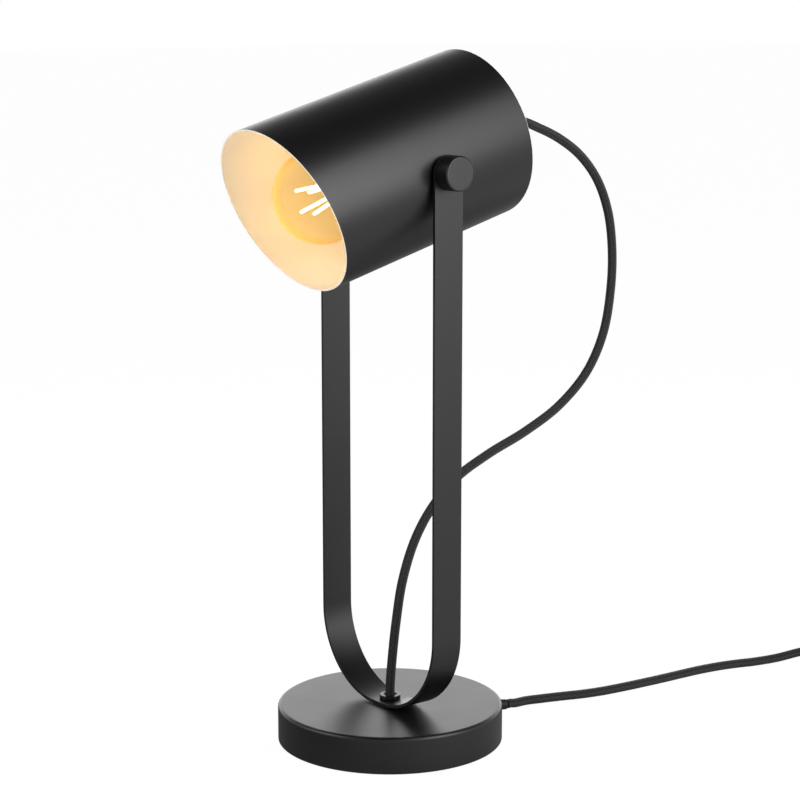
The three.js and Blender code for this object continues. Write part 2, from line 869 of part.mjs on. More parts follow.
function addBulb() {
  part('bulb_glass', makeGlass(), amberGlass, pivot);
  part('bulb_cap', makeBulbCap(), nickel, pivot);
  part('bulb_bead', makeBulbBead(), blackPlastic, pivot);
  part('bulb_tip', makeBulbTip(), brass, pivot);
  part('bulb_stem', makeStem(), clearGlass, pivot);
  for (let i = 0; i < filamentCount; i += 1) {
    part(`filament_${i + 1}`, makeFilament(i), glowing, pivot);
  }
}

// Outlet bush: it grips the lead in the shell's wall and ends in a ribbed, tapered boot
function makeOutletBush() {
  const flangeBack = baseRadius + gap;
  const flangeFront = flangeBack + bushFlangeThickness;
  const bootTip = flangeFront + bushBootLength;
  const bushBore = innerCordDiameter / 2 + gap;
  const profile = [
    [bushBore, shellInside - bushInside],
    [bushShankRadius, shellInside - bushInside],
    [bushShankRadius, flangeBack],
    [bushFlangeRadius, flangeBack],
    [bushFlangeRadius, flangeFront],
  ];
  for (let i = 0; i < bushRibCount; i += 1) {
    const share = i / bushRibCount;
    const ribLength = bushBootLength / bushRibCount;
    const from = flangeFront + ribLength * i;
    const radius = bushBootRadius + (bushBootTipRadius - bushBootRadius) * share;
    profile.push([radius, from]);
    profile.push([radius, from + ribLength / 2]);
    profile.push([radius - bushRibDepth, from + ribLength / 2]);
    profile.push([radius - bushRibDepth, from + ribLength]);
  }
  profile.push([bushBore, bootTip]);
  return turnedY(profile, smallFacets).translate([0, 0, outletHeight]);
}

// Terminal block with its two brass sleeves
function addTerminalBlock() {
  const middle = blockBottom + blockHeight / 2;
  let block = boxSolid(blockWidth, blockLength, blockHeight, 0, blockPlace, middle);
  for (const [name, side] of [['live', 1], ['neutral', -1]]) {
    const x = (side * sleeveSpacing) / 2;
    const from = blockPlace - blockLength / 2;
    const to = blockPlace + blockLength / 2;
    const hole = rodY(terminalSleeveRadius + gap, from - overrun, to + overrun).translate([x, 0, middle]);
    block = cut(block, hole);
    const wall = rodY(terminalSleeveRadius, from + gap, to - gap);
    const bore = rodY(terminalSleeveBore, from - overrun, to + overrun);
    part(`terminal_sleeve_${name}`, cut(wall, bore).translate([x, 0, middle]), brass, lamp);
  }
  part('terminal_block', block, whiteNylon, lamp);
}

// Leads inside the base: from the outlet to the block, and from the block up the nipple
function addInnerLeads() {
  const middle = blockBottom + blockHeight / 2;
  const blockBack = blockPlace + blockLength / 2 + gap;
  const blockFront = blockPlace - blockLength / 2 - gap;
  const mains = smooth([
    [0, shellInside, outletHeight],
    [0, shellInside - bushInside - innerCordDiameter, outletHeight],
    [0, blockBack + innerCordDiameter, middle],
    [0, blockBack, middle],
  ]);
  part('inner_mains_lead', tube(mains, innerCordDiameter, innerLeadSteps), innerSheath, lamp);
  const nippleEnd = nippleBottom - gap;
  const head = smooth([
    [0, blockFront, middle],
    [0, blockFront - innerCordDiameter, middle],
    [0, innerCordDiameter * 2, middle - innerBendDrop],
    [0, innerCordDiameter, middle - innerBendDrop / 2],
    [0, 0, nippleEnd - innerCordDiameter / 2],
    [0, 0, nippleEnd],
  ]);
  part('inner_head_lead', tube(head, innerCordDiameter, innerLeadSteps), innerSheath, lamp);
}

// Lead from the shade to the strap's foot. The chosen points give its bow, in the plane of the arms' middle.
const headCordBow = [
  [0, 108, 410.5],
  [0, 129.5, 404.1],
  [0, 147.9, 396.2],
  [0, 166.7, 384.2],
  [0, 182.9, 366.6],
  [0, 193.5, 344],
  [0, 198, 318],
  [0, 197.5, 290],
  [0, 190.8, 258],
  [0, 175.5, 232],
  [0, 150, 211],
  [0, 119, 196.3],
  [0, 85, 184.3],
  [0, 57, 171.5],
  [0, 35.5, 153.6],
  [0, 21.1, 133.6],
  [0, 10.7, 107.6],
  [0, 5.3, 80.8],
  [0, 1.8, 55],
];

function addHeadCord() {
  const tilt = shadeTiltDegrees * degree;
  const along = (distance) => [0, distance * Math.cos(tilt), pivotHeight + distance * Math.sin(tilt)];
  const start = backCollarTop - collarCupDepth + gap;
  const end = strapCollarTop - collarCupDepth + gap;
  const curve = smooth([
    along(start),
    along(start + cordDiameter),
    along(start + cordDiameter * 2),
    ...headCordBow,
    [0, 0, end + cordDiameter],
    [0, 0, end],
  ]);
  part('head_cord', tube(curve, cordDiameter, headCordSteps), textile, lamp);
}

// Mains lead: the chosen points lie on the table behind the base
const mainsCordRun = [
  [0.8, 106, 4.9],
  [3.5, 116, 3.6],
  [8.6, 127.8, 3.2],
  [13.7, 142.6, 3.2],
  [18.9, 157, 3.2],
  [22.9, 172.8, 3.2],
  [25.4, 190.6, 3.2],
  [27.2, 209.3, 3.2],
  [28.6, 227.9, 3.2],
  [29.6, 247.3, 3.2],
  [31, 267, 3.2],
  [34.5, 288, 3.2],
  [41, 309, 3.2],
  [50, 328, 5.2],
];

// Plane directions of the switch: along it, and to its left
const headingAngle = switchHeadingDegrees * degree;
const ahead = new THREE.Vector3(Math.cos(headingAngle), Math.sin(headingAngle), 0);
const leftward = new THREE.Vector3(-ahead.y, ahead.x, 0);
const switchFrom = new THREE.Vector3(switchStart[0], switchStart[1], 0);
const switchTo = switchFrom.clone().addScaledVector(ahead, switchLength);
const switchCordHeight = switchSplitHeight;

function onFloor(origin, forward, sideways, height) {
  const place = origin.clone().addScaledVector(ahead, forward).addScaledVector(leftward, sideways);
  return [place.x, place.y, height];
}

// Coil: two layers, in and out again, entered at its far end seen from the lamp
const coilRise = coilPitch;
const reverseTurns = 0.5;
const layerTurns = (coilTurns - reverseTurns) / 2;
const coilOuter = coilMidRadius + (coilPitch * layerTurns) / 2;
const coilInner = coilMidRadius - (coilPitch * layerTurns) / 2;
const coilLow = tieThickness + gap + cordRadius;
const coilHigh = coilLow + coilRise;
const coilSide = coilOuter + cordRadius + coilToSwitch + switchWidth / 2;
const coilCentre = new THREE.Vector3(...onFloor(switchTo, -coilBehindSwitchEnd, coilSide, 0));

// The lead's centre after some turns, counted from the entry
function coilPoint(turns) {
  const intoReverse = THREE.MathUtils.clamp((turns - layerTurns) / reverseTurns, 0, 1);
  const angle = (switchHeadingDegrees + 360 * turns) * degree;
  const fromMiddle = Math.abs(turns - coilTurns / 2);
  const halfReverse = reverseTurns / 2;
  const spread = fromMiddle < halfReverse
    ? (fromMiddle ** 2 / halfReverse + halfReverse) / 2
    : fromMiddle;
  const radius = coilInner + coilPitch * (spread - halfReverse);
  const rise = (1 - Math.cos(Math.PI * intoReverse)) / 2;
  return new THREE.Vector3(
    coilCentre.x + radius * Math.cos(angle),
    coilCentre.y + radius * Math.sin(angle),
    coilLow + coilRise * rise,
  );
}

// Centre points of the whole coil, with a straight end of one diameter on each side
function coilLine() {
  const count = Math.round(coilTurns * coilStepsPerTurn);
  const points = [];
  for (let i = 0; i <= count; i += 1) points.push(coilPoint((coilTurns * i) / count));
  const entry = tangentAt(0).multiplyScalar(-cordDiameter).add(points[0]);
  const exit = tangentAt(coilTurns).multiplyScalar(cordDiameter).add(points[count]);
  return [entry, ...points, exit];
}

function tangentAt(turns) {
  const angle = (switchHeadingDegrees + 360 * turns) * degree;
  return new THREE.Vector3(-Math.sin(angle), Math.cos(angle), 0);
}

// A tube through points whose section stays upright, so that flats lie over flats
function uprightTube(points, diameter, sides) {
  const up = new THREE.Vector3(0, 0, 1);
  const places = [];
  const rings = points.map((point, i) => {
    const before = points[Math.max(i - 1, 0)];
    const after = points[Math.min(i + 1, points.length - 1)];
    const run = after.clone().sub(before).normalize();
    const across = new THREE.Vector3().crossVectors(run, up).normalize();
    const over = new THREE.Vector3().crossVectors(across, run);
    return arc(0, 0, diameter / 2, 0, 360 - 360 / sides, sides - 1).map(([x, y]) => {
      const corner = point.clone().addScaledVector(across, x).addScaledVector(over, y);
      places.push(corner.x, corner.y, corner.z);
      return places.length / 3 - 1;
    });
  });
  const corners = [];
  for (let i = 0; i + 1 < rings.length; i += 1) {
    for (let k = 0; k < sides; k += 1) {
      const next = (k + 1) % sides;
      const [a, b, c, d] = [rings[i][k], rings[i][next], rings[i + 1][next], rings[i + 1][k]];
      corners.push(a, b, c, a, c, d);
    }
  }
  const last = rings[rings.length - 1];
  for (let k = 1; k + 1 < sides; k += 1) {
    corners.push(rings[0][0], rings[0][k + 1], rings[0][k]);
    corners.push(last[0], last[k], last[k + 1]);
  }
  const geometry = new THREE.BufferGeometry();
  geometry.setAttribute('position', new THREE.Float32BufferAttribute(places, 3));
  geometry.setIndex(corners);
  return solidOf(geometry);
}

// The least distance between the lead's surface and itself, a turn away, measured on its points
function leastGap(points, diameter) {
  let least = Infinity;
  for (let i = 0; i < points.length; i += 1) {
    for (let k = i + Math.round(coilStepsPerTurn / 2); k < points.length; k += 1) {
      least = Math.min(least, points[i].distanceTo(points[k]) - diameter);
    }
  }
  return least;
}

// Tie: a strip round all the turns
function makeTie() {
  const height = coilRise + cordDiameter + gap + tieClearance;
  const reverseInset = (coilPitch * reverseTurns) / 4;
  const innermost = coilInner - reverseInset - cordRadius;
  const inside = innermost - saddle(innermost, tieWidth / 2) - tieClearance;
  const outside = coilOuter + cordRadius + tieClearance;
  const width = outside - inside;
  const corner = cordRadius + tieClearance;
  const outer = roundedRectangle(width + tieThickness * 2, height + tieThickness * 2, corner + tieThickness);
  const inner = roundedRectangle(width, height, corner);
  const half = tieWidth / 2;
  const band = cut(prism(outer, -half, half), prism(inner, -half - overrun, half + overrun));
  const middle = tieThickness + height / 2;
  return band.rotate([90, 0, 0])
    .translate([(inside + outside) / 2, 0, middle])
    .rotate([0, 0, switchHeadingDegrees + tieAheadDegrees])
    .translate([coilCentre.x, coilCentre.y, 0]);
}

// The tail rises from the outer turn and bends in over the ring to the plug that lies on it
const plugHeight = coilHigh + cordRadius + gap + plugThickness / 2;
const endAngle = switchHeadingDegrees + 360 * coilTurns;
const plugHeadingDegrees = endAngle + 90 + tailClimbDegrees + 90;

function tailPoints() {
  const start = coilLine().pop().addScaledVector(tangentAt(coilTurns), gap);
  const second = start.clone().addScaledVector(tangentAt(coilTurns), cordRadius);
  const radius = coilOuter + gap;
  const around = (degrees, reach, height) => {
    const angle = (endAngle + degrees) * degree;
    return [coilCentre.x + reach * Math.cos(angle), coilCentre.y + reach * Math.sin(angle), height];
  };
  const bendCentre = around(tailClimbDegrees, radius - tailBendRadius, 0);
  const bend = (degrees, height) => {
    const angle = (endAngle + tailClimbDegrees + degrees) * degree;
    return [bendCentre[0] + tailBendRadius * Math.cos(angle),
      bendCentre[1] + tailBendRadius * Math.sin(angle), height];
  };
  const rise = plugHeight - coilHigh;
  return [
    start.toArray(),
    second.toArray(),
    ...tailClimbShares.map(([degrees, share]) => around(degrees, radius, coilHigh + rise * share)),
    ...tailBendShares.map(([degrees, share]) => bend(degrees, coilHigh + rise * share)),
  ];
}

function addPlug() {
  const points = tailPoints();
  const last = new THREE.Vector3(...points[points.length - 1]);
  const heading = new THREE.Group();
  heading.position.copy(last);
  heading.rotation.z = (plugHeadingDegrees - 90) * degree;
  lamp.add(heading);
  const bodyBack = gap + plugBootLength;
  const bodyFront = bodyBack + plugLength;
  const half = plugWidth / 2;
  const rear = plugRearWidth / 2;
  const outline = [
    [-rear, bodyBack],
    [rear, bodyBack],
    [half, bodyBack + plugShoulderLength],
    [half, bodyFront - plugEdgeRadius],
    ...arc(half - plugEdgeRadius, bodyFront - plugEdgeRadius, plugEdgeRadius, 0, 90),
    ...arc(plugEdgeRadius - half, bodyFront - plugEdgeRadius, plugEdgeRadius, 90, 180),
    [-half, bodyBack + plugShoulderLength],
  ];
  const boot = turnedY([
    [0, gap],
    [plugBootTipRadius, gap],
    [plugBootRadius, bodyBack + overrun],
    [0, bodyBack + overrun],
  ], smallFacets);
  const body = prism(outline, -plugThickness / 2, plugThickness / 2).add(boot);
  part('plug_body', body, blackPlastic, heading);
  for (const [name, side] of [['left', -1], ['right', 1]]) {
    const from = bodyFront + gap;
    const tip = from + plugPinLength;
    const pin = turnedY([
      [0, from],
      [plugPinRadius, from],
      [plugPinRadius, tip - plugPinRadius / 2],
      [plugPinRadius / 2, tip],
      [0, tip],
    ], tinyFacets);
    part(`plug_pin_${name}`, pin.translate([(side * plugPinSpacing) / 2, 0, 0]), nickel, heading);
  }
}

// Switch: two moulded halves and a rocker, along the lead
function makeSwitchHalf(low, high, hollowTop) {
  const half = switchWidth / 2;
  const nose = switchEndWidth / 2;
  const shoulder = switchNoseLength;
  const outline = [
    [0, -nose],
    [shoulder, -half],
    [switchLength - shoulder, -half],
    [switchLength, -nose],
    [switchLength, nose],
    [switchLength - shoulder, half],
    [shoulder, half],
    [0, nose],
  ];
  const shell = prism(outline, low, high);
  const cavityLow = hollowTop ? low - overrun : low + switchWall;
  const cavityHigh = hollowTop ? high - switchWall : high + overrun;
  const cavity = boxSolid(switchLength - shoulder * 2 - switchWall, switchWidth - switchWall * 2,
    cavityHigh - cavityLow, switchLength / 2, 0, (cavityLow + cavityHigh) / 2);
  return cut(shell, cavity);
}

function addSwitch() {
  const housing = new THREE.Group();
  housing.position.copy(switchFrom);
  housing.rotation.z = headingAngle;
  lamp.add(housing);
  const middle = switchLength / 2;
  const lower = makeSwitchHalf(0, switchSplitHeight - gap / 2, false);
  part('switch_lower', lower, blackPlastic, housing);
  const window = boxSolid(rockerLength + rockerClearance * 2, rockerWidth + rockerClearance * 2,
    switchHeight, middle, 0, switchHeight);
  const upper = makeSwitchHalf(switchSplitHeight + gap / 2, switchHeight, true);
  part('switch_upper', cut(upper, window), blackPlastic, housing);
  const rocker = new THREE.Group();
  rocker.position.set(middle, 0, switchHeight - switchWall);
  rocker.rotation.y = rockerLeanDegrees * degree;
  housing.add(rocker);
  part('switch_rocker', makeRocker(), blackPlastic, rocker);
}

// Rocker: a shallow V on its pin, extruded across the switch
function makeRocker() {
  const half = rockerLength / 2;
  const rise = rockerRise + switchWall;
  const outline = [
    [-half + rockerClearance, -rockerEndDepth],
    [-rockerDepth / 2, -rockerDepth],
    [rockerDepth / 2, -rockerDepth],
    [half - rockerClearance, -rockerEndDepth],
    [half - rockerClearance, rise],
    [0, rise - rockerRise / 2],
    [-half + rockerClearance, rise],
  ];
  return prism(outline, -rockerWidth / 2, rockerWidth / 2).rotate([90, 0, 0]);
}

function addMainsLead() {
  part('outlet_bush', makeOutletBush(), blackRubber, lamp);
  const bootTip = baseRadius + gap + bushFlangeThickness + bushBootLength + gap;
  const toSwitch = smooth([
    [0, bootTip, outletHeight],
    [0, bootTip + cordRadius, outletHeight],
    ...mainsCordRun,
    onFloor(switchFrom, -gap - cordDiameter * 2, 0, switchCordHeight - cordRadius / 3),
    onFloor(switchFrom, -gap - cordDiameter, 0, switchCordHeight),
    onFloor(switchFrom, -gap, 0, switchCordHeight),
  ]);
  part('mains_lead_run', tube(toSwitch, cordDiameter, mainsRunSteps), textile, lamp);
  const line = coilLine();
  const entry = line[0].clone().addScaledVector(tangentAt(0), -gap);
  const heights = [coilLow + cordRadius, coilLow + gap * 2, coilLow];
  const toCoil = smooth([
    onFloor(switchTo, gap, 0, switchCordHeight),
    onFloor(switchTo, gap + cordDiameter, 0, switchCordHeight),
    ...linkShares.map(([aheadShare, sideShare], i) => (
      onFloor(switchTo, coilOuter * aheadShare, coilSide * sideShare, heights[i])
    )),
    entry.clone().addScaledVector(tangentAt(0), -cordDiameter).toArray(),
    entry.toArray(),
  ]);
  part('mains_lead_link', tube(toCoil, cordDiameter, mainsLinkSteps), textile, lamp);
  part('mains_coil', uprightTube(line, cordDiameter, coilSides), textile, lamp);
  console.log(`least gap in the coil: ${leastGap(line, cordDiameter).toFixed(2)} mm`);
  part('mains_lead_tail', tube(smooth(tailPoints()), cordDiameter, mainsTailSteps), textile, lamp);
  part('cord_tie', makeTie(), felt, lamp);
}

addBase();
addStrap();
part('shade_shell', makeShade(), blackPaint, pivot);
addPivots();
addHolder();
addBulb();
addTerminalBlock();
addInnerLeads();
addHeadCord();
addMainsLead();
addSwitch();
addPlug();

export default lamp;
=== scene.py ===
"""Tabletop searchlight lamp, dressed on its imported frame.

A weighted round base carries a flat strap that is bent to a U. A drum shade with a slanted mouth
turns between the strap's arms, with a globe bulb inside. A textile lead hangs in a bow from the
shade's back to the strap's foot, and the mains lead lies on the table with its switch, its wound
length and its plug. Everything is in metres, +Z up, and the shade's mouth looks to -Y.
"""

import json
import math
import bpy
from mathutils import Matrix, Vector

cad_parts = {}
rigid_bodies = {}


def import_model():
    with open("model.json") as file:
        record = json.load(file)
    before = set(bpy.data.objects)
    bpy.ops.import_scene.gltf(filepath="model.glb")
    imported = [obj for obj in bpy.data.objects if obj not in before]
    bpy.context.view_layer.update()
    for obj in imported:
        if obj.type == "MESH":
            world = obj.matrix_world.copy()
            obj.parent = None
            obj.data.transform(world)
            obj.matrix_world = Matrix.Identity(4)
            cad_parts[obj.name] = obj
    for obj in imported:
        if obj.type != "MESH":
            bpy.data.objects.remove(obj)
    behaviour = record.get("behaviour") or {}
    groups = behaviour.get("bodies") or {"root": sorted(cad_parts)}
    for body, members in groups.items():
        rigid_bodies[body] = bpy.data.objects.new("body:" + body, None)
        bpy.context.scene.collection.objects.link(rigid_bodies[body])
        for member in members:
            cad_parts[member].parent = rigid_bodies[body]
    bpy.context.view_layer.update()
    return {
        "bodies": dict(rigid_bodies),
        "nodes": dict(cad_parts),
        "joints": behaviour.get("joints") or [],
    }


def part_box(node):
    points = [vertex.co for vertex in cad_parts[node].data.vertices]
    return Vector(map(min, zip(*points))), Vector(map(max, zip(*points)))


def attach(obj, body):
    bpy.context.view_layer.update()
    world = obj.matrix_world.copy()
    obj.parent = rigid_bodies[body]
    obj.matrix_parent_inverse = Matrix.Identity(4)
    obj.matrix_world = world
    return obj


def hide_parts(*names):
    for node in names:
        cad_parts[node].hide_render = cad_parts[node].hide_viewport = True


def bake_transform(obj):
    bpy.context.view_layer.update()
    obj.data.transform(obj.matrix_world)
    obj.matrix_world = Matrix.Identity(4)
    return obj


bl_info = {
    "name": "Tabletop Searchlight Lamp",
    "version": (1, 0, 0),
    "blender": (4, 5, 0),
    "location": "View3D > Sidebar > Lamp",
    "description": "Builds the fine forms, finishes and studio of a tabletop searchlight lamp",
    "category": "Add Mesh",
}

import bmesh
import bpy
from bpy.props import FloatProperty, FloatVectorProperty, PointerProperty
from mathutils import Matrix, Vector

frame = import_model()

MM = 0.001

# The gap between pieces, the distance at which corners merge, and the one within which a corner
# counts as being at a place
GAP = 0.3 * MM
WELD = 0.001 * MM
NEAR = 0.01 * MM

# Radii of the holes for a hollow nipple or tube, which lets the lead through, and for a screw
LEAD_HOLE = 5.3 * MM
SCREW_HOLE = 3.3 * MM

# The cord collars: their size, the cup that the lead enters and the wall below it
COLLAR_RADIUS = 7 * MM
COLLAR_HEIGHT = 2.4 * MM
COLLAR_CUP = 0.9 * MM
COLLAR_WALL = 0.9 * MM

# Outlet in the base's wall: its height, and how far the boot's tip turns down and aside
OUTLET_HEIGHT = 6 * MM
OUTLET_DROP = 2.1 * MM
OUTLET_TURN = 4.8 * MM

CAMERA_PLACE = Vector((1.10205, -0.85086, 0.48758))
CAMERA_TARGET = Vector((0.00402, 0.00532, 0.23152))
CAMERA_LENS = 96.99
CAMERA_SENSOR = 36

# Studio. A direction is where the light, a painted glow or a painted reflection is strongest.
TABLE_SIZE = 40.0
BACKDROP_DIRECTION = (-0.77, 0.62, 0.15)
# The table's painted reflection, as gloss sees it, is brightest towards these two
PAINTED_LIGHT_SIDE = (0.985, 0.174, 0.0)
PAINTED_LIGHT_REAR = (-0.45, 0.89, 0.0)
# The side of the bulb's ball on which the glass has its painted glow
PAINTED_GLOW_DIRECTION = (-0.6, -0.72, -0.35)
AIR_STRENGTH = 3.4
BULB_POWER = 0.047
BULB_COLOUR = (1.0, 0.7, 0.46)
BULB_LIGHT_RADIUS = 12 * MM

# Each soft lamp's name, place, target, width, height and radiance
SOFTBOXES = (
    ("side_softbox", (1.339, 0.409, 1.03), (0, 0, 1.03), 0.84, 1.7, 4.1),
    ("front_softbox", (-0.5, -1.2, 0.9), (0, 0, 0.3), 0.8, 0.8, 3.0),
)

# Places and sizes that the frame itself gives
base_low, base_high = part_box("base_shell")
strap_low, strap_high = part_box("yoke_strap")
collar_low, collar_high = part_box("strap_collar")
pivot_place = Vector(next(j for j in frame["joints"] if j["name"] == "shade_tilt")["pos_m"])


# Settings: the sizes and colours that a user may change


def length_setting(name, description, millimetres):
    return FloatProperty(
        name=name, description=description, default=millimetres * MM, unit="LENGTH"
    )


def angle_setting(name, description, degrees):
    return FloatProperty(
        name=name, description=description, default=math.radians(degrees), subtype="ANGLE"
    )


def colour_setting(name, description, colour):
    return FloatVectorProperty(
        name=name, description=description, default=colour, subtype="COLOR"
    )


class LampSizes(bpy.types.PropertyGroup):
    """The lamp's main sizes."""

    shade_radius: length_setting("Shade radius", "Outside radius of the drum", 56.8)
    shade_wall: length_setting("Shade wall", "Thickness of the drum's sheet", 1.2)
    shade_back: length_setting("Shade back", "From the pivot to the back", 73.9)
    shade_front: length_setting("Shade front", "From the pivot to the mouth's middle", 87.5)
    back_edge: length_setting("Back edge", "Radius of the drum's rear edge", 1.5)
    mouth_cut: angle_setting("Mouth cut", "Slant of the mouth", 11.1)
    tilt: angle_setting("Tilt", "How far the mouth looks down", 15.76)
    strap_thickness: length_setting("Strap thickness", "Thickness of the flat bar", 2)
    foot_flat: length_setting("Strap foot", "Straight length under the strap", 9)
    edge_round: length_setting("Strap edge", "Rounding of the bar's edges", 0.35)
    base_edge: length_setting("Base edge", "Radius of the base's upper edge", 2.4)
    knob_radius: length_setting("Knob radius", "Outside radius of the knobs", 11.1)
    knob_length: length_setting("Knob length", "How far the knobs stand out", 10.9)
    bulb_radius: length_setting("Bulb radius", "Radius of the globe", 30.9)
    lead_diameter: length_setting("Lead diameter", "Over the textile cover", 6.3)


class LampColours(bpy.types.PropertyGroup):
    """The colours of the lamp's finishes."""

    paint: colour_setting("Paint", "Satin paint outside", (0.0036, 0.0036, 0.0039))
    enamel: colour_setting("Enamel", "White inside the shade", (0.84, 0.83, 0.81))
    textile: colour_setting("Textile", "Cover of the leads", (0.021, 0.021, 0.023))
    plastic: colour_setting("Plastic", "Switch, plug and collars", (0.01, 0.01, 0.011))
    glass: colour_setting("Bulb glass", "Tint of the globe", (1.0, 0.97, 0.88))
    glow: colour_setting("Filament light", "Colour of the lit filaments", (1.0, 0.6, 0.32))


# Finishes: a small language for shader nodes


class Signal:
    """One socket of a finish. A sum on it adds the Math node that it needs."""

    def __init__(self, finish, socket):
        self.finish = finish
        self.socket = socket

    def __add__(self, other):
        return self.finish.sum("ADD", self, other)

    def __sub__(self, other):
        return self.finish.sum("SUBTRACT", self, other)

    def __rsub__(self, other):
        return self.finish.sum("SUBTRACT", other, self)

    def __mul__(self, other):
        return self.finish.sum("MULTIPLY", self, other)

    def __pow__(self, other):
        return self.finish.sum("POWER", self, other)

    __radd__ = __add__
    __rmul__ = __mul__

    def beside(self, output):
        """Another output of the same node, by its name or number."""
        return Signal(self.finish, self.socket.node.outputs[output])


class Finish:
    """A surface built node by node in a material's or the world's tree."""

    def __init__(self, owner):
        owner.use_nodes = True
        self.owner = owner
        self.tree = owner.node_tree
        self.tree.nodes.clear()

    def node(self, kind, values=None, output=0, stops=(), **settings):
        """Adds one node: its settings come first, then the values or links of its sockets."""
        made = self.tree.nodes.new(kind)
        for key, value in settings.items():
            setattr(made, key, value)
        if stops:
            ramp = made.color_ramp
            while len(ramp.elements) < len(stops):
                ramp.elements.new(1.0)
            for element, (place, tone) in zip(ramp.elements, stops):
                element.position = place
                element.color = (tone, tone, tone, 1.0)
        for key, value in (values or {}).items():
            if isinstance(value, Signal):
                self.tree.links.new(value.socket, made.inputs[key])
            else:
                made.inputs[key].default_value = value
        return Signal(self, made.outputs[output])

    def sum(self, operation, *terms):
        return self.node("ShaderNodeMath", dict(enumerate(terms)), operation=operation)

    def place(self):
        return self.node("ShaderNodeTexCoord", output="Object")

    def split(self, vector, output=0):
        """One part of a vector. Its other parts are beside it."""
        return self.node("ShaderNodeSeparateXYZ", {0: vector}, output=output)

    def along(self, vector, direction):
        """How far a vector reaches in one direction."""
        return self.node("ShaderNodeVectorMath", {0: vector, 1: direction}, output="Value",
                         operation="DOT_PRODUCT")

    def ramp(self, value, low, high, top=1.0):
        """From 0 to the top value while a value goes from low to high."""
        limits = {"Value": value, "From Min": low, "From Max": high, "To Max": top}
        return self.node("ShaderNodeMapRange", limits)

    def noise(self, size, detail=2.0, roughness=0.5):
        """Smooth noise from 0 to 1, whose lumps are about as large as size, in metres."""
        values = {"Vector": self.place(), "Scale": 1 / size, "Detail": detail,
                  "Roughness": roughness}
        return self.node("ShaderNodeTexNoise", values)

    def blend(self, share, low, high):
        """A colour between two, by a share from 0 to 1."""
        values = {0: share, 6: colour4(low), 7: colour4(high)}
        return self.node("ShaderNodeMix", values, output=2, data_type="RGBA")

    def mixed(self, share, first, second):
        """A surface between two, by a share from 0 to 1."""
        return self.node("ShaderNodeMixShader", {0: share, 1: first, 2: second})

    def light(self, strength, colour=(1, 1, 1)):
        """A surface that only gives light."""
        return self.node("ShaderNodeEmission", {"Color": colour4(colour), "Strength": strength})

    def relief(self, height, depth, strength):
        values = {"Height": height, "Distance": depth, "Strength": strength}
        return self.node("ShaderNodeBump", values)

    def solid(self, **values):
        """A Principled surface. Its sockets are named in words with underscores."""
        named = {key.replace("_", " ").title().replace("Ior", "IOR"): value
                 for key, value in values.items()}
        for key in ("Base Color", "Emission Color"):
            if key in named:
                named[key] = colour4(named[key])
        return self.node("ShaderNodeBsdfPrincipled", named)

    def show(self, surface):
        """Links a surface to the tree's output."""
        is_world = isinstance(self.owner, bpy.types.World)
        out = self.tree.nodes.new("ShaderNodeOutput" + ("World" if is_world else "Material"))
        self.tree.links.new(surface.socket, out.inputs["Surface"])
        return self.owner


def colour4(colour):
    """A colour with its alpha, or the link that gives it."""
    return colour if isinstance(colour, Signal) else (*tuple(colour)[:3], 1.0)


def shaded(colour, factor):
    return tuple(min(1.0, channel * factor) for channel in tuple(colour)[:3])


def new_finish(name):
    return Finish(bpy.data.materials.new(name))


def satin_paint(name, colour):
    """Baked satin paint: fine orange peel, faint clouding in tone and gloss."""
    f = new_finish(name)
    cloud = f.noise(22 * MM, detail=3)
    peel = f.noise(0.9 * MM, detail=1.5)
    speck = f.noise(0.28 * MM, detail=1)
    tone = f.blend(cloud, shaded(colour, 0.85), shaded(colour, 1.15))
    return f.show(f.solid(
        base_color=tone, roughness=0.375 + 0.05 * cloud, ior=1.6,
        normal=f.relief(peel + 0.35 * speck, 0.012 * MM, 0.55),
    ))


def enamel(name, colour, glow=0.0):
    """White stove enamel: soft gloss, a slight waviness, and its glow, which is painted light."""
    f = new_finish(name)
    cloud = f.noise(16 * MM, detail=2)
    peel = f.noise(1.1 * MM, detail=1)
    tone = f.blend(cloud, shaded(colour, 0.97), colour)
    return f.show(f.solid(
        base_color=tone, roughness=0.36 + 0.04 * cloud, normal=f.relief(peel, 0.01 * MM, 0.4),
        # Painted glow: emission standing in for bulb light falling on the enamel
        emission_color=(1.0, 0.83, 0.55), emission_strength=glow,
    ))


def turned_paint(name, colour):
    """Painted turned metal: fine rings round the pivot axis show through the paint."""
    f = new_finish(name)
    across = f.split(f.place(), "Y")
    up = across.beside("Z") - pivot_place.z
    reach = (across * across + up * up) ** 0.5
    rings = f.sum("SINE", reach * (2 * math.pi / (0.5 * MM)))
    cloud = f.noise(9 * MM)
    tone = f.blend(cloud, shaded(colour, 0.9), shaded(colour, 1.15))
    return f.show(f.solid(
        base_color=tone, roughness=0.34 + 0.04 * cloud, ior=1.62,
        normal=f.relief(rings + 2.0 * f.noise(0.8 * MM), 0.0035 * MM, 0.5),
    ))


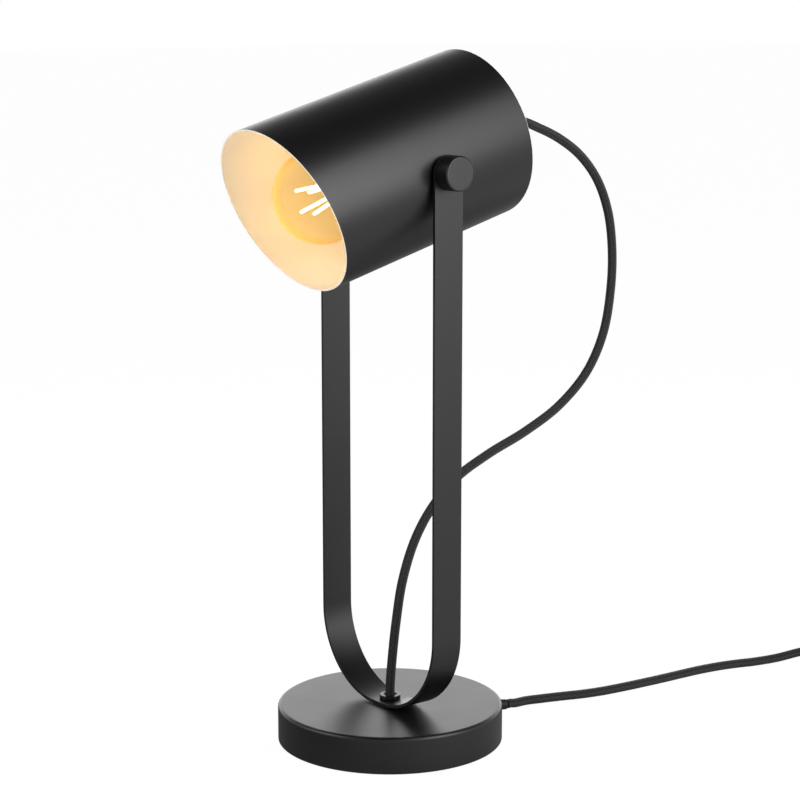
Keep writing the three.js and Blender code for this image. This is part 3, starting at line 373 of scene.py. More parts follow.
def braid(name, colour, length, diameter):
    """Textile cover: strands cross over and under each other, between six fine grooves."""
    f = new_finish(name)
    strands, threads_in_strand, grooves = 10, 5, 6.0
    pitch = math.pi * diameter / strands
    along = f.split(f.node("ShaderNodeTexCoord", output="UV"))
    around = along.beside("Y")
    travel = along * (length / pitch)
    left = around * strands + travel * 0.5
    right = around * strands - travel * 0.5
    cell = f.sum("FLOOR", left) + f.sum("FLOOR", right)
    over = f.sum("FLOORED_MODULO", cell, 2.0)
    left_crown = f.sum("SINE", f.sum("FRACT", left) * math.pi)
    right_crown = f.sum("SINE", f.sum("FRACT", right) * math.pi)
    crown = over * left_crown + (1 - over) * right_crown
    threads = f.sum("SINE", (over * right + (1 - over) * left) * (2 * math.pi * threads_in_strand))
    groove = f.sum("SINE", f.sum("FRACT", around * grooves) * math.pi) ** 0.5
    height = crown + 0.12 * threads + 0.3 * f.noise(0.35 * MM, detail=2) + 2.0 * groove
    # Painted shade and highlight: darker on the strands' sides and in the grooves, lighter on the
    # crowns
    tone = f.blend((crown * 0.8 + 0.1) * groove, shaded(colour, 0.2), shaded(colour, 2.6))
    return f.show(f.solid(
        base_color=tone, roughness=0.72, sheen_weight=0.22, sheen_roughness=0.4, ior=1.4,
        normal=f.relief(height, 0.16 * MM, 0.75),
    ))


def moulded(name, colour, roughness, grain=0.35 * MM, depth=0.02 * MM):
    """Moulded plastic with a fine spark-eroded grain."""
    f = new_finish(name)
    fine = f.noise(grain, detail=2, roughness=0.6)
    cloud = f.noise(12 * MM)
    tone = f.blend(cloud, shaded(colour, 0.88), shaded(colour, 1.18))
    return f.show(f.solid(
        base_color=tone, roughness=roughness - 0.03 + 0.06 * fine, ior=1.45,
        normal=f.relief(fine, depth, 0.5),
    ))


def bare_metal(name, colour, roughness):
    """Plated or drawn metal, clouded and finely scratched."""
    f = new_finish(name)
    cloud = f.noise(4 * MM, detail=3)
    scratch = f.noise(0.5 * MM, detail=3, roughness=0.7)
    tone = f.blend(cloud, shaded(colour, 0.86), colour)
    return f.show(f.solid(
        base_color=tone, metallic=1.0, roughness=roughness + 0.12 * cloud,
        normal=f.relief(scratch, 0.004 * MM, 0.5),
    ))


def raw_casting(name):
    """Grey iron as cast: rough, with a darker skin."""
    f = new_finish(name)
    skin = f.noise(1.6 * MM, detail=5, roughness=0.65)
    tone = f.blend(skin, (0.035, 0.034, 0.033), (0.12, 0.115, 0.11))
    return f.show(f.solid(
        base_color=tone, metallic=0.6, roughness=0.65 + 0.2 * skin,
        normal=f.relief(skin, 0.25 * MM, 0.8),
    ))


def felted(name, colour):
    """Pressed felt or woven tape: a short, dull fibre."""
    f = new_finish(name)
    fibre = f.noise(0.5 * MM, detail=4, roughness=0.7)
    tone = f.blend(fibre, shaded(colour, 0.5), shaded(colour, 1.7))
    return f.show(f.solid(
        base_color=tone, roughness=0.95, sheen_weight=0.3, normal=f.relief(fibre, 0.2 * MM, 0.8)
    ))


def fired_clay(name):
    """Unglazed ceramic of the lamp holder."""
    f = new_finish(name)
    grain = f.noise(0.7 * MM, detail=3)
    tone = f.blend(grain, (0.72, 0.69, 0.62), (0.82, 0.8, 0.74))
    return f.show(f.solid(
        base_color=tone, roughness=0.5 + 0.2 * grain, normal=f.relief(grain, 0.03 * MM, 0.5)
    ))


def tinted_glass(name, tint, rim_tint, glow, painted_glow_strength, heart=None):
    """Thin bulb glass: clear in the middle, deeper where it is seen edge on, with a sharp gloss
    and a painted glow.

    With a heart, the ball's middle, the painted glow lies on the side that the studio's glow
    direction names.
    """
    f = new_finish(name)
    edge = f.node("ShaderNodeLayerWeight", {"Blend": 0.35}, output="Facing")
    clear = f.node("ShaderNodeBsdfTransparent", {"Color": colour4(tint)})
    deep = f.node("ShaderNodeBsdfTransparent", {"Color": colour4(rim_tint)})
    rim = f.ramp(edge, 0.3, 0.8)
    through = f.mixed(rim, clear, deep)
    lit = f.light(painted_glow_strength, glow)
    # Painted glow: emission mixed into the glass, stronger where it is seen edge on
    share = 0.12 * rim
    if heart:
        # With a heart, the painted glow gathers on one fixed side of the ball
        away = f.node("ShaderNodeVectorMath", {0: f.place(), 1: tuple(heart)},
                      operation="SUBTRACT")
        share = 0.045 + rim * f.ramp(f.along(away, PAINTED_GLOW_DIRECTION), 6 * MM, 26 * MM, 0.7)
    gloss = f.solid(base_color=tint, roughness=0.03, ior=1.5)
    return f.show(f.mixed(0.012 + 0.3 * edge ** 4.0, f.mixed(share, through, lit), gloss))


def lit_filament(name, colour, strength):
    """The lit coating of a filament, a little uneven in its brightness."""
    f = new_finish(name)
    tone = f.blend(f.noise(1.2 * MM, detail=2), colour, shaded(colour, 1.6))
    return f.show(f.solid(
        base_color=colour, roughness=0.6, emission_color=tone, emission_strength=strength
    ))


# Modelling helpers


def clear_selection():
    if bpy.context.mode != "OBJECT":
        bpy.ops.object.mode_set(mode="OBJECT")
    bpy.ops.object.select_all(action="DESELECT")


def take(piece):
    """Makes a piece the only one that is selected, and the active one."""
    clear_selection()
    piece.select_set(True)
    bpy.context.view_layer.objects.active = piece


def start(name, add, **settings):
    """Adds a primitive with nothing else selected and opens it for editing in the lamp's frame."""
    clear_selection()
    add(**settings)
    piece = bpy.context.active_object
    piece.name = name
    piece.data.name = name
    bpy.ops.object.transform_apply(location=True, rotation=True, scale=True)
    bpy.ops.object.mode_set(mode="EDIT")
    bpy.ops.mesh.select_mode(type="VERT")
    return piece


def block(name, centre, size):
    """A cuboid, open for editing."""
    return start(name, bpy.ops.mesh.primitive_cube_add, size=1, location=centre, scale=size)


def drawn(name, points):
    """A line of edges, open for editing: one corner is drawn out from point to point."""
    piece = start(name, bpy.ops.mesh.primitive_plane_add, size=MM)
    bpy.ops.mesh.select_all(action="SELECT")
    bpy.ops.mesh.merge(type="CENTER")
    bpy.ops.transform.translate(value=points[0])
    for here, there in zip(points, points[1:]):
        step = [b - a for a, b in zip(here, there)]
        bpy.ops.mesh.extrude_vertices_move(TRANSFORM_OT_translate={"value": step})
    return piece


def pick(piece, kind, test):
    """Selects, in edit mode, the verts or the edges that pass a test."""
    bpy.ops.mesh.select_mode(type={"verts": "VERT", "edges": "EDGE"}[kind])
    bpy.ops.mesh.select_all(action="DESELECT")
    mesh = bmesh.from_edit_mesh(piece.data)
    for element in getattr(mesh, kind):
        if test(element):
            element.select_set(True)
    mesh.select_flush_mode()
    bmesh.update_edit_mesh(piece.data)


def split_across(axis, places):
    """Divides the piece that is being edited by planes across an axis."""
    for place in places:
        bpy.ops.mesh.select_all(action="SELECT")
        bpy.ops.mesh.bisect(plane_co=[part * place for part in axis], plane_no=axis)


def middle(edge):
    return (edge.verts[0].co + edge.verts[1].co) / 2


def bow(centre, radius, start_degrees, end_degrees, steps):
    """Points of an arc in a section, ends included."""
    points = []
    for i in range(steps + 1):
        angle = math.radians(start_degrees + (end_degrees - start_degrees) * i / steps)
        points.append((centre[0] + radius * math.cos(angle),
                       centre[1] + radius * math.sin(angle)))
    return points


def turned(name, section, sides, hollow=False):
    """A turned piece about Z, from its half section. A hollow one closes on itself."""
    line = [*section, section[0]] if hollow else section
    piece = drawn(name, [(radius, 0, height) for radius, height in line])
    bpy.ops.mesh.select_all(action="SELECT")
    bpy.ops.mesh.spin(steps=sides, angle=2 * math.pi, center=(0, 0, 0), axis=(0, 0, 1))
    bpy.ops.mesh.select_all(action="SELECT")
    bpy.ops.mesh.remove_doubles(threshold=WELD)
    bpy.ops.mesh.normals_make_consistent(inside=False)
    bpy.ops.object.mode_set(mode="OBJECT")
    return piece


def lay(piece, matrix):
    """Moves a piece to its place and puts the place into its mesh."""
    take(piece)
    piece.matrix_world = matrix
    bpy.ops.object.transform_apply(location=True, rotation=True, scale=True)
    return piece


def modify(piece, kind, **settings):
    """Adds one modifier and applies it."""
    take(piece)
    bpy.ops.object.modifier_add(type=kind)
    modifier = piece.modifiers[-1]
    for key, value in settings.items():
        setattr(modifier, key, value)
    bpy.ops.object.modifier_apply(modifier=modifier.name)


def soften(piece, width, segments, degrees):
    """Rounds the edges that are sharper than an angle."""
    modify(piece, "BEVEL", width=width, segments=segments, limit_method="ANGLE",
           angle_limit=math.radians(degrees))


def carve(piece, tool):
    """Cuts a piece with a tool, which is then gone."""
    modify(piece, "BOOLEAN", operation="DIFFERENCE", object=tool, solver="EXACT")
    bpy.data.objects.remove(tool)


def fuse(piece, other):
    """Joins another mesh into a piece."""
    take(piece)
    other.select_set(True)
    bpy.ops.object.join()


def rod(name, radius, length, matrix, sides=48):
    """A plain rod from the origin along Z, for cutting holes."""
    clear_selection()
    bpy.ops.mesh.primitive_cylinder_add(
        vertices=sides, radius=radius, depth=length, location=(0, 0, length / 2)
    )
    tool = bpy.context.active_object
    tool.name = name
    bpy.ops.object.transform_apply(location=True, rotation=True, scale=True)
    return lay(tool, matrix)


def settle(piece, body, nodes, finishes, angle=35):
    """Gives a finished piece its smoothness, its finishes, its body and the solids it replaces."""
    take(piece)
    bpy.ops.object.shade_smooth_by_angle(angle=math.radians(angle))
    modify(piece, "WEIGHTED_NORMAL", keep_sharp=True)
    for i, finish in enumerate(finishes):
        if i < len(piece.data.materials):
            piece.data.materials[i] = finish
        else:
            piece.data.materials.append(finish)
    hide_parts(*nodes)
    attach(piece, body)


def later_finish(piece, place, test):
    """Gives the faces that pass a test the piece's second finish, or the third."""
    while len(piece.data.materials) < place + 1:
        piece.data.materials.append(None)
    for face in piece.data.polygons:
        if test(face.center, face.normal):
            face.material_index = place


ALONG_X = Matrix.Rotation(math.pi / 2, 4, "Y")
ALONG_Y = Matrix.Rotation(-math.pi / 2, 4, "X")


def shift(x, y, z):
    return Matrix.Translation((x, y, z))


def shade_frame(sizes):
    """The tilted frame of the shade: its axis is Y, and the mouth looks to -Y."""
    return Matrix.Translation(pivot_place) @ Matrix.Rotation(sizes.tilt, 4, "X")


def side_frame(side):
    """From a piece turned about Z to the pivot axis, looking outwards on one side."""
    return Matrix.Translation(pivot_place) @ Matrix.Rotation(side * math.pi / 2, 4, "Y")


# Leads

# How far apart the rings of a lead are, and the parts of a curve between two of its points
LEAD_STEP = 1.5 * MM
WOUND_STEP = 1.8 * MM
CURVE_PARTS = 24

# The lead's bow behind the strap: how far back and how high, from the collar down to the foot
HEAD_BOW_MM = [
    (108, 410.5), (129.5, 404.1), (147.9, 396.2), (166.7, 384.2), (182.9, 366.6), (193.5, 344),
    (198, 318), (197.5, 290), (190.8, 258), (175.5, 232), (150, 211), (119, 196.3), (85, 184.3),
    (57, 171.5), (35.5, 153.6), (21.1, 133.6), (10.7, 107.6), (5.3, 80.8), (1.8, 55),
]

# The mains lead on the table, from the outlet to the switch
MAINS_RUN_MM = [
    (5.1, 107, 3.3), (5.6, 116.5, 3.2), (8.9, 127.8, 3.2), (13.7, 142.6, 3.2), (18.9, 157, 3.2),
    (22.9, 172.8, 3.2), (25.4, 190.6, 3.2), (27.2, 209.3, 3.2), (28.6, 227.9, 3.2),
    (29.6, 247.3, 3.2), (31, 267, 3.2), (34.5, 288, 3.2), (41, 309, 3.2), (50, 328, 5.2),
]

SWITCH_PLACE = Vector((66, 352, 0)) * MM
SWITCH_HEADING = math.radians(55)
SWITCH_LENGTH = 64 * MM
SWITCH_WIDTH = 27 * MM
SWITCH_HEIGHT = 20 * MM
SWITCH_SPLIT = 10 * MM

COIL_MIDDLE = 33.5 * MM
COIL_PITCH = 6.95 * MM
COIL_TURNS = 6.25
COIL_STEPS = 60
COIL_TO_SWITCH = 2.6 * MM
COIL_BEHIND_END = 3 * MM
REVERSE_TURNS = 0.5

TIE_THICKNESS = 0.8 * MM
TIE_WIDTH = 10 * MM
TIE_AHEAD = math.radians(45)
TIE_CLEARANCE = 0.4 * MM

PLUG_THICKNESS = 13.7 * MM

# The tail from the coil to the plug: it climbs along the ring, then turns inwards over it.
# A share is degrees of the way round, and how much of the climb is done.
TAIL_CLIMB = 75
TAIL_BEND = 27 * MM
TAIL_CLIMB_SHARES = [(24, 0.06), (36, 0.26), (49, 0.5), (62, 0.72), (TAIL_CLIMB, 0.86)]
TAIL_BEND_SHARES = [(30, 0.96), (60, 1), (80, 1), (90, 1)]

# The link from the switch to the coil: shares of the coil's radius ahead and of its distance aside
LINK_SHARES = [(0.42, 0.06), (0.7, 0.25), (0.88, 0.52)]


def flowing(points):
    """An even line along the centripetal curve through points."""
    p = [Vector(q) for q in points]
    p = [p[0] * 2 - p[1], *p, p[-1] * 2 - p[-2]]
    dense = []
    for a, b, c, d in zip(p, p[1:], p[2:], p[3:]):
        t0, t1, t2 = (max((v - u).length, 1e-6) ** 0.5 for u, v in ((a, b), (b, c), (c, d)))
        leave = ((b - a) / t0 - (c - a) / (t0 + t1) + (c - b) / t1) * t1
        reach = ((c - b) / t1 - (d - b) / (t1 + t2) + (d - c) / t2) * t1
        for i in range(CURVE_PARTS):
            t = i / CURVE_PARTS
            bent = (2 * b - 2 * c + leave + reach) * t**3
            bent += (3 * c - 3 * b - 2 * leave - reach) * t**2
            dense.append(bent + leave * t + b)
    dense.append(p[-2])
    return evened(dense, LEAD_STEP)


def evened(line, spacing):
    """The same line with its points an even distance apart."""
    reach = [0.0]
    for a, b in zip(line, line[1:]):
        reach.append(reach[-1] + (b - a).length)
    count = max(2, round(reach[-1] / spacing))
    even, k = [], 0
    for i in range(count + 1):
        at = reach[-1] * i / count
        while k < len(line) - 2 and reach[k + 1] < at:
            k += 1
        share = (at - reach[k]) / max(reach[k + 1] - reach[k], 1e-9)
        even.append(line[k].lerp(line[k + 1], min(1.0, share)))
    return even


def length_of(line):
    return sum((b - a).length for a, b in zip(line, line[1:]))


def covered_lead(name, line, diameter):
    """A round lead along a line, with the map that its cover follows."""
    curve = bpy.data.curves.new(name, "CURVE")
    curve.dimensions = "3D"
    curve.bevel_depth = diameter / 2
    curve.bevel_resolution = 6
    curve.use_fill_caps = True
    spline = curve.splines.new("POLY")
    spline.points.add(len(line) - 1)
    for point, place in zip(spline.points, line):
        point.co = (*place, 1)
    lead = bpy.data.objects.new(name, curve)
    bpy.context.scene.collection.objects.link(lead)
    take(lead)
    bpy.ops.object.convert(target="MESH")
    lead = bpy.context.active_object
    lead.name = name
    lead.data.name = name
    return lead


def on_table(ahead, left, height):
    """A place counted along and beside the switch's own direction."""
    forward = Vector((math.cos(SWITCH_HEADING), math.sin(SWITCH_HEADING), 0))
    sideways = Vector((-forward.y, forward.x, 0))
    return SWITCH_PLACE + forward * ahead + sideways * left + Vector((0, 0, height))


def coil_geometry(sizes):
    """The wound length's layers, radii, heights, distance aside and centre."""
    radius = sizes.lead_diameter / 2
    layer = (COIL_TURNS - REVERSE_TURNS) / 2
    outer = COIL_MIDDLE + COIL_PITCH * layer / 2
    inner = COIL_MIDDLE - COIL_PITCH * layer / 2
    low = TIE_THICKNESS + GAP + radius
    side = outer + radius + COIL_TO_SWITCH + SWITCH_WIDTH / 2
    centre = on_table(SWITCH_LENGTH - COIL_BEHIND_END, side, 0)
    return {"layer": layer, "outer": outer, "inner": inner, "low": low, "high": low + COIL_PITCH,
            "side": side, "centre": centre}


def round_place(centre, radius, angle, height):
    """A place on a circle about an upright axis."""
    return centre + Vector((radius * math.cos(angle), radius * math.sin(angle), height))


def coil_place(coil, turns):
    """Where the lead is after some turns: it winds inwards below and outwards on top."""
    into = min(1.0, max(0.0, (turns - coil["layer"]) / REVERSE_TURNS))
    off = abs(turns - COIL_TURNS / 2)
    half = REVERSE_TURNS / 2
    spread = (off**2 / half + half) / 2 if off < half else off
    radius = coil["inner"] + COIL_PITCH * (spread - half)
    rise = (1 - math.cos(math.pi * into)) / 2
    return round_place(coil["centre"], radius, SWITCH_HEADING + 2 * math.pi * turns,
                       coil["low"] + COIL_PITCH * rise)


def coil_heading(turns):
    angle = SWITCH_HEADING + 2 * math.pi * turns
    return Vector((-math.sin(angle), math.cos(angle), 0))


def wound_line(sizes):
    """The lead from the switch into the coil, round it and on to the plug."""
    coil = coil_geometry(sizes)
    d = sizes.lead_diameter
    count = round(COIL_TURNS * COIL_STEPS)
    turns = [coil_place(coil, COIL_TURNS * i / count) for i in range(count + 1)]
    entry = turns[0] - coil_heading(0) * (d + GAP)
    heights = [coil["low"] + d / 2, coil["low"] + 2 * GAP, coil["low"]]
    link = [on_table(SWITCH_LENGTH + GAP + ahead, 0, SWITCH_SPLIT) for ahead in (0, d)]
    for (ahead, left), height in zip(LINK_SHARES, heights):
        link.append(on_table(SWITCH_LENGTH + coil["outer"] * ahead, coil["side"] * left, height))
    link += [entry - coil_heading(0) * d, entry]
    return flowing(link) + turns + flowing(tail_points(sizes, coil, turns[-1]))


def tail_points(sizes, coil, last_turn):
    """From the coil's last turn up and over the ring to the plug."""
    d = sizes.lead_diameter
    leave = coil_heading(COIL_TURNS)
    first = last_turn + leave * (d + GAP)
    reach = coil["outer"] + GAP
    end = SWITCH_HEADING + 2 * math.pi * COIL_TURNS
    plug_height = coil["high"] + d / 2 + GAP + PLUG_THICKNESS / 2
    climb = plug_height - coil["high"]
    points = [first, first + leave * (d / 2)]
    for degrees, share in TAIL_CLIMB_SHARES:
        points.append(round_place(coil["centre"], reach, end + math.radians(degrees),
                                  coil["high"] + climb * share))
    turn = end + math.radians(TAIL_CLIMB)
    centre = round_place(coil["centre"], reach - TAIL_BEND, turn, 0)
    for degrees, share in TAIL_BEND_SHARES:
        points.append(round_place(centre, TAIL_BEND, turn + math.radians(degrees),
                                  coil["high"] + climb * share))
    return points


def plug_frame(sizes):
    """The plug's frame: its pins point along its +Y, and the lead enters at its origin."""
    coil = coil_geometry(sizes)
    last = tail_points(sizes, coil, coil_place(coil, COIL_TURNS))[-1]
    turn = SWITCH_HEADING + 2 * math.pi * COIL_TURNS + math.radians(TAIL_CLIMB) + math.pi / 2
    return Matrix.Translation(last) @ Matrix.Rotation(turn, 4, "Z")


class LAMP_OT_camera(bpy.types.Operator):
    """Sets the camera at the photograph's place"""

    bl_idname = "lamp.camera"
    bl_label = "Camera"

    def execute(self, context):
        clear_selection()
        turn = (CAMERA_TARGET - CAMERA_PLACE).to_track_quat("-Z", "Y").to_euler()
        bpy.ops.object.camera_add(location=CAMERA_PLACE, rotation=turn)
        camera = context.active_object
        camera.name = "photograph_camera"
        camera.data.lens = CAMERA_LENS
        camera.data.sensor_width = CAMERA_SENSOR
        context.scene.camera = camera
        return {"FINISHED"}


class LAMP_OT_head_lead(bpy.types.Operator):
    """Hangs the textile lead between the shade's back and the strap's foot"""

    bl_idname = "lamp.head_lead"
    bl_label = "Lead to the shade"

    def execute(self, context):
        sizes = context.scene.lamp_sizes
        colours = context.scene.lamp_colours
        d = sizes.lead_diameter
        cup_floor = sizes.shade_back + GAP + COLLAR_HEIGHT - COLLAR_CUP + GAP
        top = [shade_frame(sizes) @ Vector((0, cup_floor + d * k, 0)) for k in (0, 1, 2)]
        hanging = [Vector((0, y, z)) * MM for y, z in HEAD_BOW_MM]
        foot = collar_high.z - COLLAR_CUP + GAP
        line = flowing([*top, *hanging, Vector((0, 0, foot + d)), Vector((0, 0, foot))])
        lead = covered_lead("shade_lead", line, d)
        cover = braid("black_textile_short", colours.textile, length_of(line), d)
        lead.data.materials.append(cover)
        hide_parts("head_cord")
        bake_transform(lead)
        length_of(line)
        return {"FINISHED"}


class LAMP_OT_mains_lead(bpy.types.Operator):
    """Lays the mains lead on the table, up to its switch and on to its plug"""

    bl_idname = "lamp.mains_lead"
    bl_label = "Mains lead"

    def execute(self, context):
        sizes = context.scene.lamp_sizes
        colours = context.scene.lamp_colours
        d = sizes.lead_diameter
        boot_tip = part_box("outlet_bush")[1].y + GAP
        outlet = Vector((OUTLET_TURN, boot_tip, OUTLET_HEIGHT - OUTLET_DROP))
        points = [outlet, outlet + Vector((0, d / 2, 0)), *(Vector(p) * MM for p in MAINS_RUN_MM)]
        for ahead, height in ((2 * d, SWITCH_SPLIT - d / 6), (d, SWITCH_SPLIT), (0, SWITCH_SPLIT)):
            points.append(on_table(-GAP - ahead, 0, height))
        lowest = d / 2 + GAP / 6
        run = [Vector((p.x, p.y, max(p.z, lowest))) for p in flowing(points)]
        wound = evened(wound_line(sizes), WOUND_STEP)
        for name, line, nodes, lay_word, far_end, others in (
            ("mains_run", run, ["mains_lead_run"], "loose", "fitting",
             ["switch_tray", "switch_cover", "switch_paddle"]),
            ("mains_wound", wound, ["mains_lead_link", "mains_coil", "mains_lead_tail"], "coiled",
             "plug", ["plug_grip", "plug_prong_left", "plug_prong_right", "lead_tie"]),
        ):
            lead = covered_lead(name, line, d)
            cover = braid("black_textile_" + name, colours.textile, length_of(line), d)
            lead.data.materials.append(cover)
            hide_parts(*nodes)
            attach(lead, "base")
            length_of(line)
        return {"FINISHED"}


class LAMP_OT_base(bpy.types.Operator):
    """Builds the round base cover and its foot pad"""

    bl_idname = "lamp.base"
    bl_label = "Base"

    def execute(self, context):
        sizes = context.scene.lamp_sizes
        colours = context.scene.lamp_colours
        radius, lip, top = base_high.x, base_low.z, base_high.z
        edge, hem = sizes.base_edge, 0.4 * MM
        wall, inner_edge = 3 * MM, 1.2 * MM
        ceiling = top - 3.2 * MM
        cover = turned("base_cover", [
            (radius - wall, lip),
            *bow((radius - hem, lip + hem), hem, -90, 0, 3),
            *bow((radius - edge, top - edge), edge, 0, 90, 8),
            (radius - edge - 0.8 * MM, top),
            (LEAD_HOLE, top),
            (LEAD_HOLE, ceiling),
            *bow((radius - wall - inner_edge, ceiling - inner_edge), inner_edge, 90, 0, 4),
        ], sides=160, hollow=True)
        hole_start = shift(0, radius - 8 * MM, OUTLET_HEIGHT)
        carve(cover, rod("outlet_hole", 4.5 * MM, 12 * MM, hole_start @ ALONG_Y))
        paint = satin_paint("satin_black", colours.paint)
        settle(cover, "base", ["base_shell"], [paint])
        low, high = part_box("foot_pad")
        pad = turned("base_pad", [
            (0, low.z),
            *bow((high.x - hem, low.z + hem), hem, -90, 0, 3),
            (high.x, high.z),
            (0, high.z),
        ], sides=128)
        felt = felted("pad_felt", (0.02, 0.02, 0.021))
        settle(pad, "base", ["foot_pad"], [felt])
        return {"FINISHED"}


class LAMP_OT_strap(bpy.types.Operator):
    """Bends the flat bar that carries the shade"""

    bl_idname = "lamp.strap"
    bl_label = "Strap"

    def outlined_arm(self, half, inside, bend_height):
        """One arm as a flat sheet: a round eye with its hole, and the straight part below it."""
        facing_out = Matrix.Rotation(math.pi / 2, 4, "Y").to_euler()
        bar = start(
            "strap_bar", bpy.ops.mesh.primitive_circle_add, vertices=64, radius=half,
            fill_type="NGON", location=(inside, 0, pivot_place.z), rotation=facing_out,
        )
        bpy.ops.mesh.select_all(action="SELECT")
        bpy.ops.mesh.inset(thickness=half - SCREW_HOLE, depth=0)
        bpy.ops.mesh.delete(type="FACE")
        pick(bar, "verts", lambda v: abs(abs(v.co.y) - half) < NEAR)
        bpy.ops.mesh.extrude_vertices_move(
            TRANSFORM_OT_translate={"value": (0, 0, bend_height - pivot_place.z)}
        )
        pick(bar, "verts", lambda v: abs(v.co.z - bend_height) < NEAR)
        bpy.ops.mesh.edge_face_add()

        def on_open_rim(edge):
            y, z = middle(edge).yz
            return (len(edge.link_faces) < 2 and z < pivot_place.z
                    and math.hypot(y, z - pivot_place.z) > half - 0.1 * MM)

        pick(bar, "edges", on_open_rim)
        bpy.ops.mesh.edge_face_add()
        return bar

    def execute(self, context):
        sizes = context.scene.lamp_sizes
        colours = context.scene.lamp_colours
        inside = strap_high.x - sizes.strap_thickness
        corner = sizes.foot_flat / 2
        bend_height = strap_low.z + sizes.strap_thickness + inside - corner
        bar = self.outlined_arm(strap_high.y, inside, bend_height)
        pick(bar, "verts", lambda v: abs(v.co.z - bend_height) < NEAR)
        bpy.ops.mesh.spin(
            steps=32, angle=math.pi / 2, center=(corner, 0, bend_height), axis=(0, -1, 0)
        )
        bpy.ops.mesh.select_all(action="SELECT")
        bpy.ops.mesh.remove_doubles(threshold=WELD)
        pick(bar, "verts", lambda v: abs(v.co.x - corner) < NEAR and v.co.z < bend_height)
        bpy.ops.mesh.extrude_edges_move(TRANSFORM_OT_translate={"value": (-corner, 0, 0)})
        bpy.ops.mesh.select_all(action="SELECT")
        bpy.ops.mesh.normals_make_consistent(inside=False)
        mesh = bmesh.from_edit_mesh(bar.data)
        mesh.faces.ensure_lookup_table()
        if max(mesh.faces, key=lambda f: f.calc_area()).normal.x < 0:
            bpy.ops.mesh.flip_normals()
        bpy.ops.object.mode_set(mode="OBJECT")
        modify(bar, "MIRROR", use_axis=(True, False, False), merge_threshold=5 * WELD)
        modify(bar, "SOLIDIFY", thickness=sizes.strap_thickness, offset=1)
        carve(bar, rod("nipple_hole", LEAD_HOLE, 20 * MM, shift(0, 0, strap_low.z - 8 * MM)))
        soften(bar, sizes.edge_round, 3, 40)
        paint = satin_paint("satin_black_strap", colours.paint)
        settle(bar, "base", ["yoke_strap"], [paint], 40)
        return {"FINISHED"}


class LAMP_OT_shade(bpy.types.Operator):
    """Spins the drum shade, cuts its slanted mouth and enamels its inside"""

    bl_idname = "lamp.shade"
    bl_label = "Shade"

    def execute(self, context):
        sizes = context.scene.lamp_sizes
        colours = context.scene.lamp_colours
        outer, back, edge = sizes.shade_radius, sizes.shade_back, sizes.back_edge
        inner = outer - sizes.shade_wall
        floor = back - 1.5 * MM
        beside_edge = 0.6 * MM
        ring = 5.5 * MM
        reach = sizes.shade_front + outer * math.tan(sizes.mouth_cut) + 2 * MM
        drum = turned("shade_drum", [
            (LEAD_HOLE, back),
            (outer - edge - beside_edge, back),
            *bow((outer - edge, back - edge), edge, 90, 0, 8),
            (outer, back - edge - beside_edge),
            *((outer, height) for height in (ring, -ring, -reach)),
            *((inner, height) for height in (-reach, -ring, ring, floor)),
            (LEAD_HOLE, floor),
        ], sides=192, hollow=True)
        lay(drum, ALONG_Y)
        bpy.ops.object.mode_set(mode="EDIT")
        bpy.ops.mesh.select_all(action="SELECT")
        cut_normal = Vector((0, -math.cos(sizes.mouth_cut), -math.sin(sizes.mouth_cut)))
        cut_place = Vector((0, -sizes.shade_front, 0))
        bpy.ops.mesh.bisect(plane_co=cut_place, plane_no=cut_normal, clear_outer=True)
        bpy.ops.mesh.select_mode(type="EDGE")
        bpy.ops.mesh.select_all(action="DESELECT")
        bpy.ops.mesh.select_non_manifold()
        bpy.ops.mesh.bridge_edge_loops()

        def from_cut(place):
            return abs((place - cut_place).dot(cut_normal))

        def on_rim(rim_edge):
            """On the cut, along the outer or the inner circle and not across the wall."""
            circles = {round(math.hypot(v.co.x, v.co.z) / (0.3 * MM)) for v in rim_edge.verts}
            return len(circles) == 1 and all(from_cut(v.co) < NEAR for v in rim_edge.verts)

        pick(drum, "edges", on_rim)
        bpy.ops.mesh.bevel(offset=0.22 * MM, segments=2, affect="EDGES")
        bpy.ops.mesh.select_all(action="SELECT")
        bpy.ops.mesh.normals_make_consistent(inside=False)
        bpy.ops.object.mode_set(mode="OBJECT")
        carve(drum, rod("pivot_hole", SCREW_HOLE, 4 * outer, shift(-2 * outer, 0, 0) @ ALONG_X))

        def is_inside(place, normal):
            radius = math.hypot(place.x, place.z)
            return 6 * MM < radius < outer - 0.12 * MM and place.y < back - 0.3 * MM

        def is_mouth_edge(place, normal):
            return normal.dot(cut_normal) > 0.9 and from_cut(place) < 0.3 * MM

        later_finish(drum, 1, is_inside)
        # The mouth's edge takes the third finish, the enamel with a painted glow
        later_finish(drum, 2, is_mouth_edge)
        lay(drum, shade_frame(sizes))
        settle(drum, "shade", ["shade_shell"], [
            satin_paint("satin_black_shade", colours.paint),
            enamel("white_enamel", colours.enamel),
            # Emission on the rim: a painted glow standing in for the bulb's light on it
            enamel("enamel_rim", colours.enamel, 0.4),
        ], 32)
        return {"FINISHED"}


